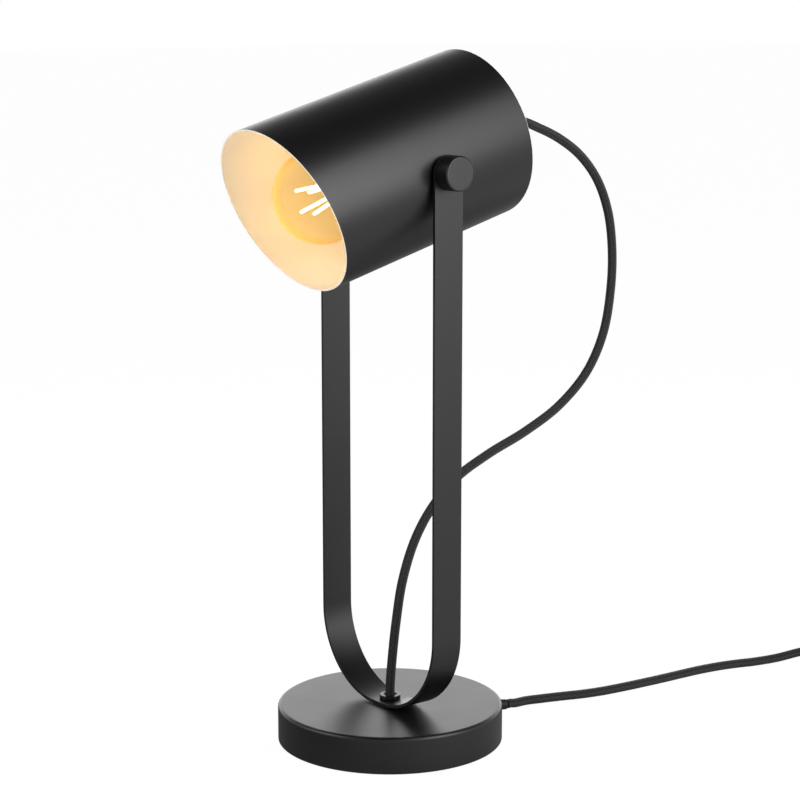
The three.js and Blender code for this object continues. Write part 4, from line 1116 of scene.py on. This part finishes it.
class LAMP_OT_knobs(bpy.types.Operator):
    """Turns the knobs, the pivot screws and their spacers"""

    bl_idname = "lamp.knobs"
    bl_label = "Knobs and pivots"

    def knob(self, name, sizes):
        """A knob with a chamfered face, a relief in its back and a blind hole for its screw."""
        r, back = sizes.knob_radius, strap_high.x + GAP
        front, relief = back + sizes.knob_length, back + 0.6 * MM
        rim, edge, chamfer, bore = r - 1.2 * MM, 0.4 * MM, 0.8 * MM, back + 7.6 * MM
        return turned(name, [
            (SCREW_HOLE, back), (6.5 * MM, back), (6.5 * MM, relief), (rim, relief), (rim, back),
            *bow((r - edge, back + edge), edge, -90, 0, 3),
            (r, front - chamfer), (r - 0.1 * MM, front - chamfer * 0.75),
            (r - chamfer * 0.8, front - 0.08 * MM), (r - chamfer, front),
            (r - chamfer - 0.4 * MM, front), (0, front), (0, bore), (SCREW_HOLE, bore),
        ], sides=96, hollow=True)

    def screw(self, name):
        """A pivot screw with a low head and a six-sided socket."""
        low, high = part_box("pivot_bolt_right")
        head, tip = low.x, high.x
        shank, under_head = 3 * MM, head + 2.6 * MM
        bolt = turned(name, [
            (0, head), (3.2 * MM, head), (4.9 * MM, head + 0.35 * MM), (5.7 * MM, head + 1.0 * MM),
            (6 * MM, head + 1.7 * MM), (6 * MM, under_head), (shank, under_head),
            (shank, tip - 0.5 * MM), (2.5 * MM, tip), (0, tip),
        ], sides=48)
        carve(bolt, rod("socket", 2.3 * MM, 4 * MM, shift(0, 0, head - 2.2 * MM), sides=6))
        return bolt

    def spacer(self, name):
        """A washer with broken edges, between the arm and the drum."""
        low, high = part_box("pivot_spacer_right")
        outer, edge = high.y, 0.3 * MM
        return turned(name, [
            (SCREW_HOLE, low.x), (outer - edge, low.x), (outer, low.x + edge),
            (outer, high.x - edge), (outer - edge, high.x), (SCREW_HOLE, high.x),
        ], sides=64, hollow=True)

    def execute(self, context):
        sizes = context.scene.lamp_sizes
        colours = context.scene.lamp_colours
        paint = turned_paint("knob_paint", colours.paint)
        zinc = bare_metal("bright_zinc", (0.62, 0.63, 0.65), 0.28)
        nylon = moulded("black_nylon", shaded(colours.plastic, 1.3), roughness=0.5)
        for name, side in (("right", 1), ("left", -1)):
            knob = self.knob("turned_knob_" + name, sizes)
            lay(knob, side_frame(side))
            settle(knob, name + "_knob", ["knob_" + name], [paint], 30)
            bolt = self.screw("pivot_screw_" + name)
            lay(bolt, side_frame(side))
            settle(bolt, "shade", ["pivot_bolt_" + name], [zinc])
            spacer = self.spacer("pivot_washer_" + name)
            lay(spacer, side_frame(side))
            settle(spacer, "shade", ["pivot_spacer_" + name], [nylon])
        return {"FINISHED"}


class LAMP_OT_collars(bpy.types.Operator):
    """Turns the two cord collars and the ribbed outlet boot"""

    bl_idname = "lamp.collars"
    bl_label = "Collars and boot"

    def boot(self, colours):
        """The outlet's boot: a neck in the wall, a flange, and a ribbed tip that turns aside."""
        low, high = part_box("outlet_bush")
        flange = base_high.y + GAP
        root = flange + 1.6 * MM
        bore, neck, flange_radius, tip_radius = 3.35 * MM, 4.2 * MM, 4.5 * MM, 3.5 * MM
        run = high.y - flange - 1.6 * MM
        ribs, taper, groove = 6, 0.66 * MM, 0.12 * MM
        section = [(bore, low.y), (neck, low.y), (neck, flange), (flange_radius, flange),
                   (flange_radius, flange + 1.3 * MM), (4.3 * MM, root)]
        for i in range(ribs):
            at = root + run * i / ribs
            wide = neck - taper * i / ribs
            section += [(wide, at + run * 0.02), (wide, at + run * 0.09),
                        (wide - groove, at + run * 0.1), (wide - groove, at + run * 0.155)]
        section += [(tip_radius, high.y), (bore, high.y)]
        bush = turned("lead_boot", section, sides=48, hollow=True)
        lay(bush, shift(0, 0, OUTLET_HEIGHT) @ ALONG_Y)
        bpy.ops.object.mode_set(mode="EDIT")
        pick(bush, "verts", lambda v: v.co.y > root + 0.1 * MM)
        for axis, aside in (("X", -OUTLET_DROP), ("Z", -OUTLET_TURN)):
            bpy.ops.transform.rotate(
                value=-math.atan(aside / (high.y - root)), orient_axis=axis,
                center_override=(0, root, OUTLET_HEIGHT),
            )
        bpy.ops.object.mode_set(mode="OBJECT")
        rubber_tone = shaded(colours.plastic, 1.1)
        rubber = moulded("boot_rubber", rubber_tone, roughness=0.6, grain=0.5 * MM)
        settle(bush, "base", ["outlet_bush"], [rubber])

    def execute(self, context):
        sizes = context.scene.lamp_sizes
        colours = context.scene.lamp_colours
        plastic = moulded("collar_plastic", colours.plastic, roughness=0.3, depth=0.008 * MM)
        seat, top, r = collar_low.z, collar_high.z, COLLAR_RADIUS
        floor, edge = top - COLLAR_CUP, 0.4 * MM
        hole, under = 3.5 * MM, top - COLLAR_CUP - COLLAR_WALL
        section = [
            (LEAD_HOLE, seat), (r - 0.2 * MM, seat), (r, seat + 0.2 * MM),
            *bow((r - edge, top - edge), edge, 0, 90, 5),
            (4.9 * MM, top), (4.6 * MM, top - 0.2 * MM), (4.3 * MM, floor + 0.3 * MM),
            (hole, floor), (hole, under), (LEAD_HOLE, under),
        ]
        foot = turned("foot_collar", section, sides=72, hollow=True)
        settle(foot, "base", ["strap_collar"], [plastic], 32)
        lift = sizes.shade_back + GAP - seat
        rear = turned("rear_collar", [(x, z + lift) for x, z in section], sides=72, hollow=True)
        lay(rear, shade_frame(sizes) @ ALONG_Y)
        settle(rear, "shade", ["back_collar"], [plastic], 32)
        self.boot(colours)
        return {"FINISHED"}


class LAMP_OT_holder(bpy.types.Operator):
    """Turns the lamp holder inside the shade"""

    bl_idname = "lamp.holder"
    bl_label = "Lamp holder"

    def execute(self, context):
        sizes = context.scene.lamp_sizes
        colours = context.scene.lamp_colours
        plastic = moulded("holder_plastic", shaded(colours.plastic, 1.4), roughness=0.35)
        back, dome_front, mouth = 45.7 * MM, 27.7 * MM, -6.3 * MM
        r, wall, neck, neck_inside = 19 * MM, 2 * MM, 8 * MM, 7.3 * MM
        crown = back - 4 * MM

        def dome_point(start_radius, end_radius, height, share):
            angle = math.pi / 2 * share
            return (start_radius + (end_radius - start_radius) * math.sin(angle),
                    dome_front + (height - dome_front) * math.cos(angle))

        shell = turned("holder_cap", [
            (LEAD_HOLE, back), (7.6 * MM, back), (neck, back - 0.4 * MM), (neck, crown),
            *(dome_point(neck, r, crown, i / 12) for i in range(1, 13)),
            (r - wall, dome_front),
            *(dome_point(neck_inside, r - wall, crown - wall, i / 8) for i in range(8, -1, -1)),
            (LEAD_HOLE, crown - wall),
        ], sides=64, hollow=True)
        lay(shell, shade_frame(sizes) @ ALONG_Y)
        settle(shell, "shade", ["holder_dome"], [plastic])

        top, waist, crest = dome_front - GAP, r - 0.5 * MM, r - 0.1 * MM
        body = [(r - wall, top), (r - 0.3 * MM, top), (r, top - 0.3 * MM), (r, top - 2.5 * MM),
                (waist, top - 2.9 * MM)]
        for i in range(5):
            at = top - 4 * MM - i * 2.2 * MM
            body += [(waist, at), (crest, at - 0.3 * MM), (crest, at - 1.2 * MM),
                     (waist, at - 1.5 * MM)]
        lip, opening = 1 * MM, 14.5 * MM
        body += [(waist, mouth + 6 * MM), (r, mouth + 5.6 * MM), (r, mouth + lip),
                 *bow((r - lip, mouth + lip), lip, 0, -90, 4),
                 (opening, mouth), (opening, mouth + wall), (r - wall, mouth + wall)]
        barrel = turned("holder_barrel", body, sides=64, hollow=True)
        lay(barrel, shade_frame(sizes) @ ALONG_Y)
        settle(barrel, "shade", ["holder_body"], [plastic])
        return {"FINISHED"}


class LAMP_OT_bulb(bpy.types.Operator):
    """Blows the globe bulb with its cap, stem and filaments"""

    bl_idname = "lamp.bulb"
    bl_label = "Bulb"

    # Places along the shade's axis, from the pivot
    cap_back = 20.5 * MM - 6.6 * MM
    cap_front = 20.5 * MM - 1.6 * MM - 5 * MM - 20 * MM
    neck_front = cap_front - 3 * MM
    neck_end = cap_front + 3 * MM
    stem_front = neck_end - 34 * MM

    def glass(self, sizes):
        """The ball and its neck, as a wall of 0.8 mm that is open towards the cap."""
        ball = -(sizes.shade_front - sizes.bulb_radius)
        neck_radius, wall, shoulder = 12.2 * MM, 0.8 * MM, 28

        def outline(inset):
            points = bow((0, ball), sizes.bulb_radius - inset, -90, shoulder, 40)
            join_radius, join_place = points[-1]
            neck = neck_radius - inset
            run = self.neck_front - join_place
            slope = -run * math.tan(math.radians(shoulder))
            for i in range(1, 17):
                t = i / 16
                swell = (2 * t**3 - 3 * t**2 + 1) * join_radius + (t**3 - 2 * t**2 + t) * slope
                points.append((swell + (3 * t**2 - 2 * t**3) * neck, join_place + run * t))
            return points

        return turned("globe_glass", [
            *outline(0), (neck_radius, self.neck_end), (neck_radius - wall, self.neck_end),
            *reversed(outline(wall)),
        ], sides=96)

    def cap(self):
        """The screw cap: a rolled front edge, five rounded threads and a narrow back."""
        front, back, edge, inside = self.cap_front, self.cap_back, 13.2 * MM, 12.0 * MM
        threads = 5
        pitch = (back - 2.5 * MM - front - 3.4 * MM) / threads
        section = [(12.8 * MM, front), (edge, front + 0.1 * MM), (edge, front + 3 * MM)]
        for i in range(threads):
            at = front + 3.2 * MM + i * pitch
            section += [(12.5 * MM, at + pitch * 0.25), (12.4 * MM, at + pitch * 0.45),
                        (13.1 * MM, at + pitch * 0.75), (edge, at + pitch * 0.9)]
        section += [(12.6 * MM, back - 1.6 * MM), (8.9 * MM, back), (8.5 * MM, back),
                    (inside, back - 2.4 * MM), (inside, front + 0.2 * MM)]
        return turned("globe_cap", section, sides=64, hollow=True)

    def stem(self):
        """The glass foot that carries the filaments: a flare, a tube and a pinched tip."""
        back, front, tube, tip = self.neck_end, self.stem_front, 4.2 * MM, 2.4 * MM
        return turned("globe_stem", [
            (0, back), (11.1 * MM, back), (10.2 * MM, back - 1.2 * MM),
            (6.4 * MM, back - 3.2 * MM), (4.6 * MM, back - 5.2 * MM), (tube, back - 8 * MM),
            (tube, front + 9 * MM), (3.4 * MM, front + 6 * MM), (tip, front + 4.2 * MM),
            (tip, front + 1 * MM), (1.6 * MM, front + 0.2 * MM), (0, front),
        ], sides=40)

    def filament(self, name):
        """A straight rod with rounded ends, from the origin down."""
        length, radius, end_radius, end, tip = 38 * MM, 0.9 * MM, 0.55 * MM, 0.8 * MM, 0.2 * MM
        return turned(name, [
            (0, -length), (end_radius, tip - length), (radius, end - length), (radius, -end),
            (end_radius, -tip), (0, 0),
        ], sides=16)

    def execute(self, context):
        sizes = context.scene.lamp_sizes
        colours = context.scene.lamp_colours
        placed = shade_frame(sizes) @ ALONG_Y
        glass = self.glass(sizes)
        lay(glass, placed)
        heart = placed @ Vector((0, 0, sizes.bulb_radius - sizes.shade_front))
        amber = tinted_glass("amber_globe", colours.glass, rim_tint=(0.98, 0.86, 0.6),
                             glow=(1.0, 0.6, 0.16), painted_glow_strength=1.3, heart=heart)
        settle(glass, "bulb", ["bulb_glass"], [amber], 60)
        cap = self.cap()
        lay(cap, placed)
        nickel = bare_metal("plated_nickel", (0.68, 0.66, 0.6), 0.2)
        settle(cap, "bulb", ["bulb_cap"], [nickel], 50)
        stem = self.stem()
        lay(stem, placed)
        clear = tinted_glass("stem_glass", (0.98, 0.96, 0.9), rim_tint=(0.8, 0.72, 0.55),
                             glow=(1.0, 0.7, 0.3), painted_glow_strength=0.3)
        settle(stem, "bulb", ["bulb_stem"], [clear], 60)
        lit = lit_filament("lit_filament", colours.glow, 13.5)
        lean = Matrix.Rotation(math.radians(10), 4, "Z")
        root = shift(3.5 * MM, self.stem_front + 4.2 * MM, 0)
        for i in range(4):
            bar = self.filament(f"lit_rod_{i + 1}")
            ring = Matrix.Rotation(math.radians(90 * (i + 0.5)), 4, "Y")
            lay(bar, shade_frame(sizes) @ ring @ root @ lean @ ALONG_Y)
            settle(bar, "bulb", [f"filament_{i + 1}"], [lit], 40)
        return {"FINISHED"}


class LAMP_OT_switch(bpy.types.Operator):
    """Moulds the inline switch with its rocker"""

    bl_idname = "lamp.switch"
    bl_label = "Switch"

    def half(self, name, low, high, outer):
        """One half of the housing: tapered ends, and rounded edges round its outer face."""
        nose, nose_width = 10.5 * MM, 12 * MM
        centre = (SWITCH_LENGTH / 2, 0, (low + high) / 2)
        shell = block(name, centre, (SWITCH_LENGTH, SWITCH_WIDTH, high - low))
        split_across((1, 0, 0), (nose, SWITCH_LENGTH - nose))
        ends = (0, SWITCH_LENGTH)
        pick(shell, "verts", lambda v: min(abs(v.co.x - end) for end in ends) < NEAR)
        bpy.ops.transform.resize(
            value=(1, nose_width / SWITCH_WIDTH, 1), center_override=(SWITCH_LENGTH / 2, 0, 0)
        )

        def is_outer_edge(edge):
            heights = [v.co.z for v in edge.verts]
            if abs(heights[0] - heights[1]) > MM:
                return True
            on_face = all(abs(height - outer) < NEAR for height in heights)
            return on_face and len(edge.link_faces) == 2 and edge.calc_face_angle() > 1

        pick(shell, "edges", is_outer_edge)
        bpy.ops.mesh.bevel(offset=2.2 * MM, segments=4, affect="EDGES")
        bpy.ops.object.mode_set(mode="OBJECT")
        return shell

    def rocker(self):
        """The rocker's cap: hollowed along its top and rounded off below, leaning to one side."""
        paddle = block("switch_paddle", (0, 0, -1.2 * MM), (18 * MM, 11 * MM, 9.6 * MM))
        split_across((1, 0, 0), [at * MM for at in (-6, -3, 0, 3, 6)])

        def shift_at(place, rise, is_in_row):
            pick(paddle, "verts",
                 lambda v: is_in_row(v.co.z) and abs(abs(v.co.x) - place * MM) < NEAR)
            bpy.ops.transform.translate(value=(0, 0, rise * MM))

        for place, drop in ((0, 0.8), (3, 0.66), (6, 0.28)):
            shift_at(place, -drop, lambda height: height > 0)
        for place, rise in ((9, 4.0), (6, 2.2)):
            shift_at(place, rise, lambda height: height < -2 * MM)
        bpy.ops.object.mode_set(mode="OBJECT")
        soften(paddle, 0.5 * MM, 3, 40)
        return paddle

    def execute(self, context):
        colours = context.scene.lamp_colours
        placed = Matrix.Translation(SWITCH_PLACE) @ Matrix.Rotation(SWITCH_HEADING, 4, "Z")
        plastic = moulded("switch_plastic", colours.plastic, roughness=0.38)
        gloss = moulded("rocker_plastic", colours.plastic, roughness=0.22, depth=0.004 * MM)
        seam = GAP / 2
        lower = self.half("switch_tray", 0, SWITCH_SPLIT - seam, 0)
        upper = self.half("switch_cover", SWITCH_SPLIT + seam, SWITCH_HEIGHT, SWITCH_HEIGHT)
        top = (SWITCH_LENGTH / 2, 0, SWITCH_HEIGHT)
        carve(upper, block("rocker_window", top, (20 * MM, 12 * MM, 19 * MM)))
        for x in (7 * MM, SWITCH_LENGTH - 7 * MM):
            carve(lower, rod("screw_well", 2.4 * MM, 3 * MM, shift(x, 0, -1 * MM)))
        for piece, node in ((lower, "switch_lower"), (upper, "switch_upper")):
            lay(piece, placed)
            settle(piece, "base", [node], [plastic])
        paddle = self.rocker()
        lean = Matrix.Rotation(math.radians(7), 4, "Y")
        lay(paddle, placed @ shift(SWITCH_LENGTH / 2, 0, SWITCH_HEIGHT - 2 * MM) @ lean)
        settle(paddle, "rocker", ["switch_rocker"], [gloss], 30)
        return {"FINISHED"}


class LAMP_OT_plug(bpy.types.Operator):
    """Moulds the flat plug, its pins and the tie round the wound lead"""

    bl_idname = "lamp.plug"
    bl_label = "Plug and tie"

    back = GAP + 14 * MM
    front = back + 32 * MM

    def grip(self):
        """The flat body: narrowed towards the lead, with finger grooves on both faces."""
        back, front = self.back, self.front
        width, height = 35 * MM, PLUG_THICKNESS
        body = block("plug_grip", (0, (back + front) / 2, 0), (width, front - back, height))
        waist = back + 7 * MM
        split_across((0, 1, 0), (back + 13.3 * MM, waist))
        for place, narrowed, flattened in ((back, 16 * MM, 0.86), (waist, 26.5 * MM, 0.97)):
            pick(body, "verts", lambda v, place=place: abs(v.co.y - place) < NEAR)
            bpy.ops.transform.resize(
                value=(narrowed / width, 1, flattened), center_override=(0, back, 0)
            )
        bpy.ops.object.mode_set(mode="OBJECT")
        soften(body, 1.9 * MM, 4, 50)
        for i in range(4):
            at = back + 16 * MM + i * 3.6 * MM
            for side in (-1, 1):
                groove = shift(-11 * MM, at, side * (height / 2 + 0.35 * MM)) @ ALONG_X
                carve(body, rod("grip_groove", 0.8 * MM, 22 * MM, groove, sides=12))
        return body

    def boot(self):
        """The ribbed boot round the lead."""
        neck = 5.4 * MM
        section = [(3.4 * MM, GAP), (3.9 * MM, GAP)]
        for i in range(5):
            at = GAP + 1.2 * MM + i * 2.6 * MM
            wide = 4.1 * MM + i * 0.28 * MM
            section += [(wide, at), (wide, at + 1.5 * MM), (wide - 0.5 * MM, at + 1.6 * MM),
                        (wide - 0.5 * MM, at + 2.5 * MM)]
        section += [(neck, self.back - 0.4 * MM), (neck, self.back + 2 * MM),
                    (0, self.back + 2 * MM), (0, GAP)]
        return turned("plug_boot", section, sides=40, hollow=True)

    def pin(self, name, node, placed, finishes):
        """A pin whose root is sleeved, and whose end is bare and slightly thicker."""
        root, sleeve, bare = self.front + GAP, 1.9 * MM, 2 * MM
        tip = root + 19 * MM
        pin = turned(name, [
            (0, root), (sleeve, root), (sleeve, root + 9 * MM), (bare, root + 9.1 * MM),
            (bare, tip - 1.2 * MM), (1.7 * MM, tip - 0.5 * MM), (1.0 * MM, tip), (0, tip),
        ], sides=32)
        lay(pin, ALONG_Y)
        later_finish(pin, 1, lambda place, normal: place.y < root + 9.05 * MM)
        lay(pin, placed)
        settle(pin, "base", [node], finishes)

    def tie(self, sizes):
        """A fabric strip round all the turns of the coil."""
        coil = coil_geometry(sizes)
        radius = sizes.lead_diameter / 2
        height = COIL_PITCH + sizes.lead_diameter + GAP + TIE_CLEARANCE
        innermost = coil["inner"] - COIL_PITCH * REVERSE_TURNS / 4 - radius
        inside = math.sqrt(innermost**2 - (TIE_WIDTH / 2) ** 2) - TIE_CLEARANCE
        outside = coil["outer"] + radius + TIE_CLEARANCE
        corner = radius + TIE_CLEARANCE
        x0, x1 = inside + corner, outside - corner
        z0, z1 = TIE_THICKNESS + corner, TIE_THICKNESS + height - corner
        ring = [*bow((x1, z0), corner, -90, 0, 6), *bow((x1, z1), corner, 0, 90, 6),
                *bow((x0, z1), corner, 90, 180, 6), *bow((x0, z0), corner, 180, 270, 6)]
        band = drawn("lead_tie", [(x, -TIE_WIDTH / 2, z) for x, z in [*ring, ring[0]]])
        bpy.ops.mesh.select_all(action="SELECT")
        bpy.ops.mesh.remove_doubles(threshold=WELD)
        bpy.ops.mesh.select_mode(type="EDGE")
        bpy.ops.mesh.select_all(action="SELECT")
        bpy.ops.mesh.extrude_edges_move(TRANSFORM_OT_translate={"value": (0, TIE_WIDTH, 0)})
        bpy.ops.mesh.select_all(action="SELECT")
        bpy.ops.mesh.normals_make_consistent(inside=False)
        bpy.ops.object.mode_set(mode="OBJECT")
        modify(band, "SOLIDIFY", thickness=TIE_THICKNESS, offset=1, use_even_offset=True)
        soften(band, 0.2 * MM, 2, 50)
        turn = Matrix.Rotation(SWITCH_HEADING + TIE_AHEAD, 4, "Z")
        lay(band, Matrix.Translation(coil["centre"]) @ turn)
        fabric = felted("tie_fabric", (0.016, 0.016, 0.017))
        settle(band, "base", ["cord_tie"], [fabric], 40)

    def execute(self, context):
        sizes = context.scene.lamp_sizes
        colours = context.scene.lamp_colours
        placed = plug_frame(sizes)
        plastic = moulded("plug_plastic", colours.plastic, roughness=0.4)
        body = self.grip()
        boot = self.boot()
        lay(boot, ALONG_Y)
        fuse(body, boot)
        lay(body, placed)
        settle(body, "base", ["plug_body"], [plastic])
        nickel = bare_metal("pin_nickel", (0.68, 0.66, 0.6), 0.18)
        for side, aside in (("left", -9.3 * MM), ("right", 9.3 * MM)):
            self.pin("plug_prong_" + side, "plug_pin_" + side, placed @ shift(aside, 0, 0),
                     [nickel, plastic])
        self.tie(sizes)
        return {"FINISHED"}


class LAMP_OT_inner_parts(bpy.types.Operator):
    """Gives the parts inside the base and the shade their own finishes"""

    bl_idname = "lamp.inner_parts"
    bl_label = "Inner parts"

    def execute(self, context):
        zinc = bare_metal("zinc_plate", (0.6, 0.61, 0.63), 0.3)
        brass = bare_metal("drawn_brass", (0.72, 0.5, 0.2), 0.24)
        nylon = moulded("white_nylon_block", (0.7, 0.68, 0.62), roughness=0.45)
        sheath = moulded("grey_sheath", (0.55, 0.55, 0.54), roughness=0.5, grain=1.2 * MM)
        bead = moulded("bead_glass", (0.008, 0.008, 0.01), roughness=0.12, depth=0.002 * MM)
        finishes = {
            zinc: ["bottom_plate", "bottom_screw_1", "bottom_screw_2", "bottom_screw_3",
                   "strap_nipple", "nipple_washer", "nipple_nut", "holder_tube", "tube_nut"],
            brass: ["terminal_sleeve_live", "terminal_sleeve_neutral", "screw_sleeve",
                    "contact_tab", "bulb_tip"],
            nylon: ["terminal_block"],
            sheath: ["inner_mains_lead", "inner_head_lead"],
            bead: ["bulb_bead"],
            raw_casting("grey_casting"): ["base_weight"],
            fired_clay("holder_clay"): ["holder_insert"],
        }
        for finish, names in finishes.items():
            for name in names:
                frame["nodes"][name].material_slots[0].material = finish
        return {"FINISHED"}


class LAMP_OT_studio(bpy.types.Operator):
    """Sets the pale table, the surrounding light, the soft lamps and the bulb's own light"""

    bl_idname = "lamp.studio"
    bl_label = "Studio"

    def table_finish(self, name):
        """White to the eye and through glass, a grey card for light, and a painted reflection in
        gloss.
        """
        f = new_finish(name)
        camera = f.node("ShaderNodeLightPath", output="Is Camera Ray")
        seen = f.sum("MINIMUM", camera + camera.beside("Is Transmission Ray"), 1.0)
        plain = f.node("ShaderNodeBsdfDiffuse", {"Color": colour4((0.8, 0.8, 0.8))})
        faint = f.node("ShaderNodeBsdfDiffuse", {"Color": colour4((0.1, 0.1, 0.1))})
        bright = f.node("ShaderNodeAddShader", {0: faint, 1: f.light(0.96)})
        ahead = f.along(f.place(), PAINTED_LIGHT_SIDE)
        behind = f.along(f.place(), PAINTED_LIGHT_REAR)
        # Painted light and shade for gloss: dim near the lamp's front, brighter to the side and
        # far behind
        lit = f.sum("MAXIMUM", f.ramp(ahead, -0.02, 0.2), f.ramp(behind, 0.45, 0.9))
        painted_reflection = f.mixed(lit, f.light(0.16), f.light(0.6))
        direct = f.mixed(seen, plain, bright)
        return f.show(f.mixed(camera.beside("Is Glossy Ray"), direct, painted_reflection))

    def table(self):
        floor = start("pale_table", bpy.ops.mesh.primitive_plane_add, size=TABLE_SIZE)
        bpy.ops.object.mode_set(mode="OBJECT")
        floor.data.materials.append(self.table_finish("pale_table"))

    def air(self, scene):
        """Light from all round: bright low down and on the backdrop's side, white to the eye."""
        scene.world = bpy.data.worlds.new("studio_air")
        w = Finish(scene.world)
        direction = w.node("ShaderNodeTexCoord", output="Generated")
        rise = w.split(direction, "Z")
        behind = w.along(direction, BACKDROP_DIRECTION)
        low = w.node("ShaderNodeValToRGB", {0: rise},
                     stops=[(0.0, 1.0), (0.27, 0.95), (0.46, 0.15), (1.0, 0.05)])
        wall = w.node("ShaderNodeValToRGB", {0: behind},
                      stops=[(0.0, 0.2), (0.5, 0.22), (0.8, 0.6), (0.93, 1.0)])
        camera = w.node("ShaderNodeLightPath", output="Is Camera Ray")
        tone = w.node("ShaderNodeMix", {0: 1.0, 6: low, 7: wall}, output=2, data_type="RGBA",
                      blend_type="MULTIPLY")
        air = w.node("ShaderNodeBackground", {"Color": tone, "Strength": AIR_STRENGTH})
        white = w.node("ShaderNodeBackground", {"Color": colour4((1, 1, 1)), "Strength": 1.0})
        w.show(w.mixed(camera, air, white))

    def softbox(self, name, place, target, width, height, radiance):
        clear_selection()
        turn = (Vector(target) - Vector(place)).to_track_quat("-Z", "Y").to_euler()
        bpy.ops.object.light_add(type="AREA", location=place, rotation=turn)
        lamp = bpy.context.active_object
        lamp.name = name
        lamp.data.shape = "RECTANGLE"
        lamp.data.size = width
        lamp.data.size_y = height
        lamp.data.energy = radiance * math.pi * width * height
        lamp.visible_camera = False

    def bulb_light(self, sizes):
        """The light that the bulb itself gives, which turns with the bulb."""
        clear_selection()
        heart = shade_frame(sizes) @ Vector((0, sizes.bulb_radius - sizes.shade_front, 0))
        bpy.ops.object.light_add(type="POINT", location=heart)
        lamp = bpy.context.active_object
        lamp.name = "bulb_light"
        lamp.data.energy = BULB_POWER
        lamp.data.color = BULB_COLOUR
        lamp.data.shadow_soft_size = BULB_LIGHT_RADIUS
        lamp.visible_camera = False
        lamp.visible_glossy = False
        lamp.parent = frame["bodies"]["bulb"]

    def execute(self, context):
        self.table()
        self.air(context.scene)
        for softbox in SOFTBOXES:
            self.softbox(*softbox)
        self.bulb_light(context.scene.lamp_sizes)
        context.scene.view_settings.view_transform = "Standard"
        return {"FINISHED"}


class LAMP_PT_panel(bpy.types.Panel):
    """Lists the lamp's sizes, colours and parts"""

    bl_idname = "LAMP_PT_panel"
    bl_label = "Searchlight lamp"
    bl_space_type = "VIEW_3D"
    bl_region_type = "UI"
    bl_category = "Lamp"

    def draw(self, context):
        scene = context.scene
        for title, group in (("Sizes", scene.lamp_sizes), ("Colours", scene.lamp_colours)):
            box = self.layout.box()
            box.label(text=title)
            for name in group.__annotations__:
                box.prop(group, name)
        for step in STEPS:
            self.layout.operator(step.bl_idname)


# The operators in the order in which the lamp is built
STEPS = (
    LAMP_OT_camera,
    LAMP_OT_head_lead,
    LAMP_OT_switch,
    LAMP_OT_plug,
    LAMP_OT_mains_lead,
    LAMP_OT_base,
    LAMP_OT_strap,
    LAMP_OT_shade,
    LAMP_OT_knobs,
    LAMP_OT_collars,
    LAMP_OT_holder,
    LAMP_OT_bulb,
    LAMP_OT_inner_parts,
    LAMP_OT_studio,
)
CLASSES = (LampSizes, LampColours, *STEPS, LAMP_PT_panel)


def register():
    for cls in CLASSES:
        bpy.utils.register_class(cls)
    bpy.types.Scene.lamp_sizes = PointerProperty(type=LampSizes)
    bpy.types.Scene.lamp_colours = PointerProperty(type=LampColours)


def unregister():
    del bpy.types.Scene.lamp_colours
    del bpy.types.Scene.lamp_sizes
    for cls in reversed(CLASSES):
        bpy.utils.unregister_class(cls)


def main():
    register()
    for step in STEPS:
        getattr(bpy.ops.lamp, step.bl_idname.removeprefix("lamp."))()


if __name__ == "__main__":
    main()
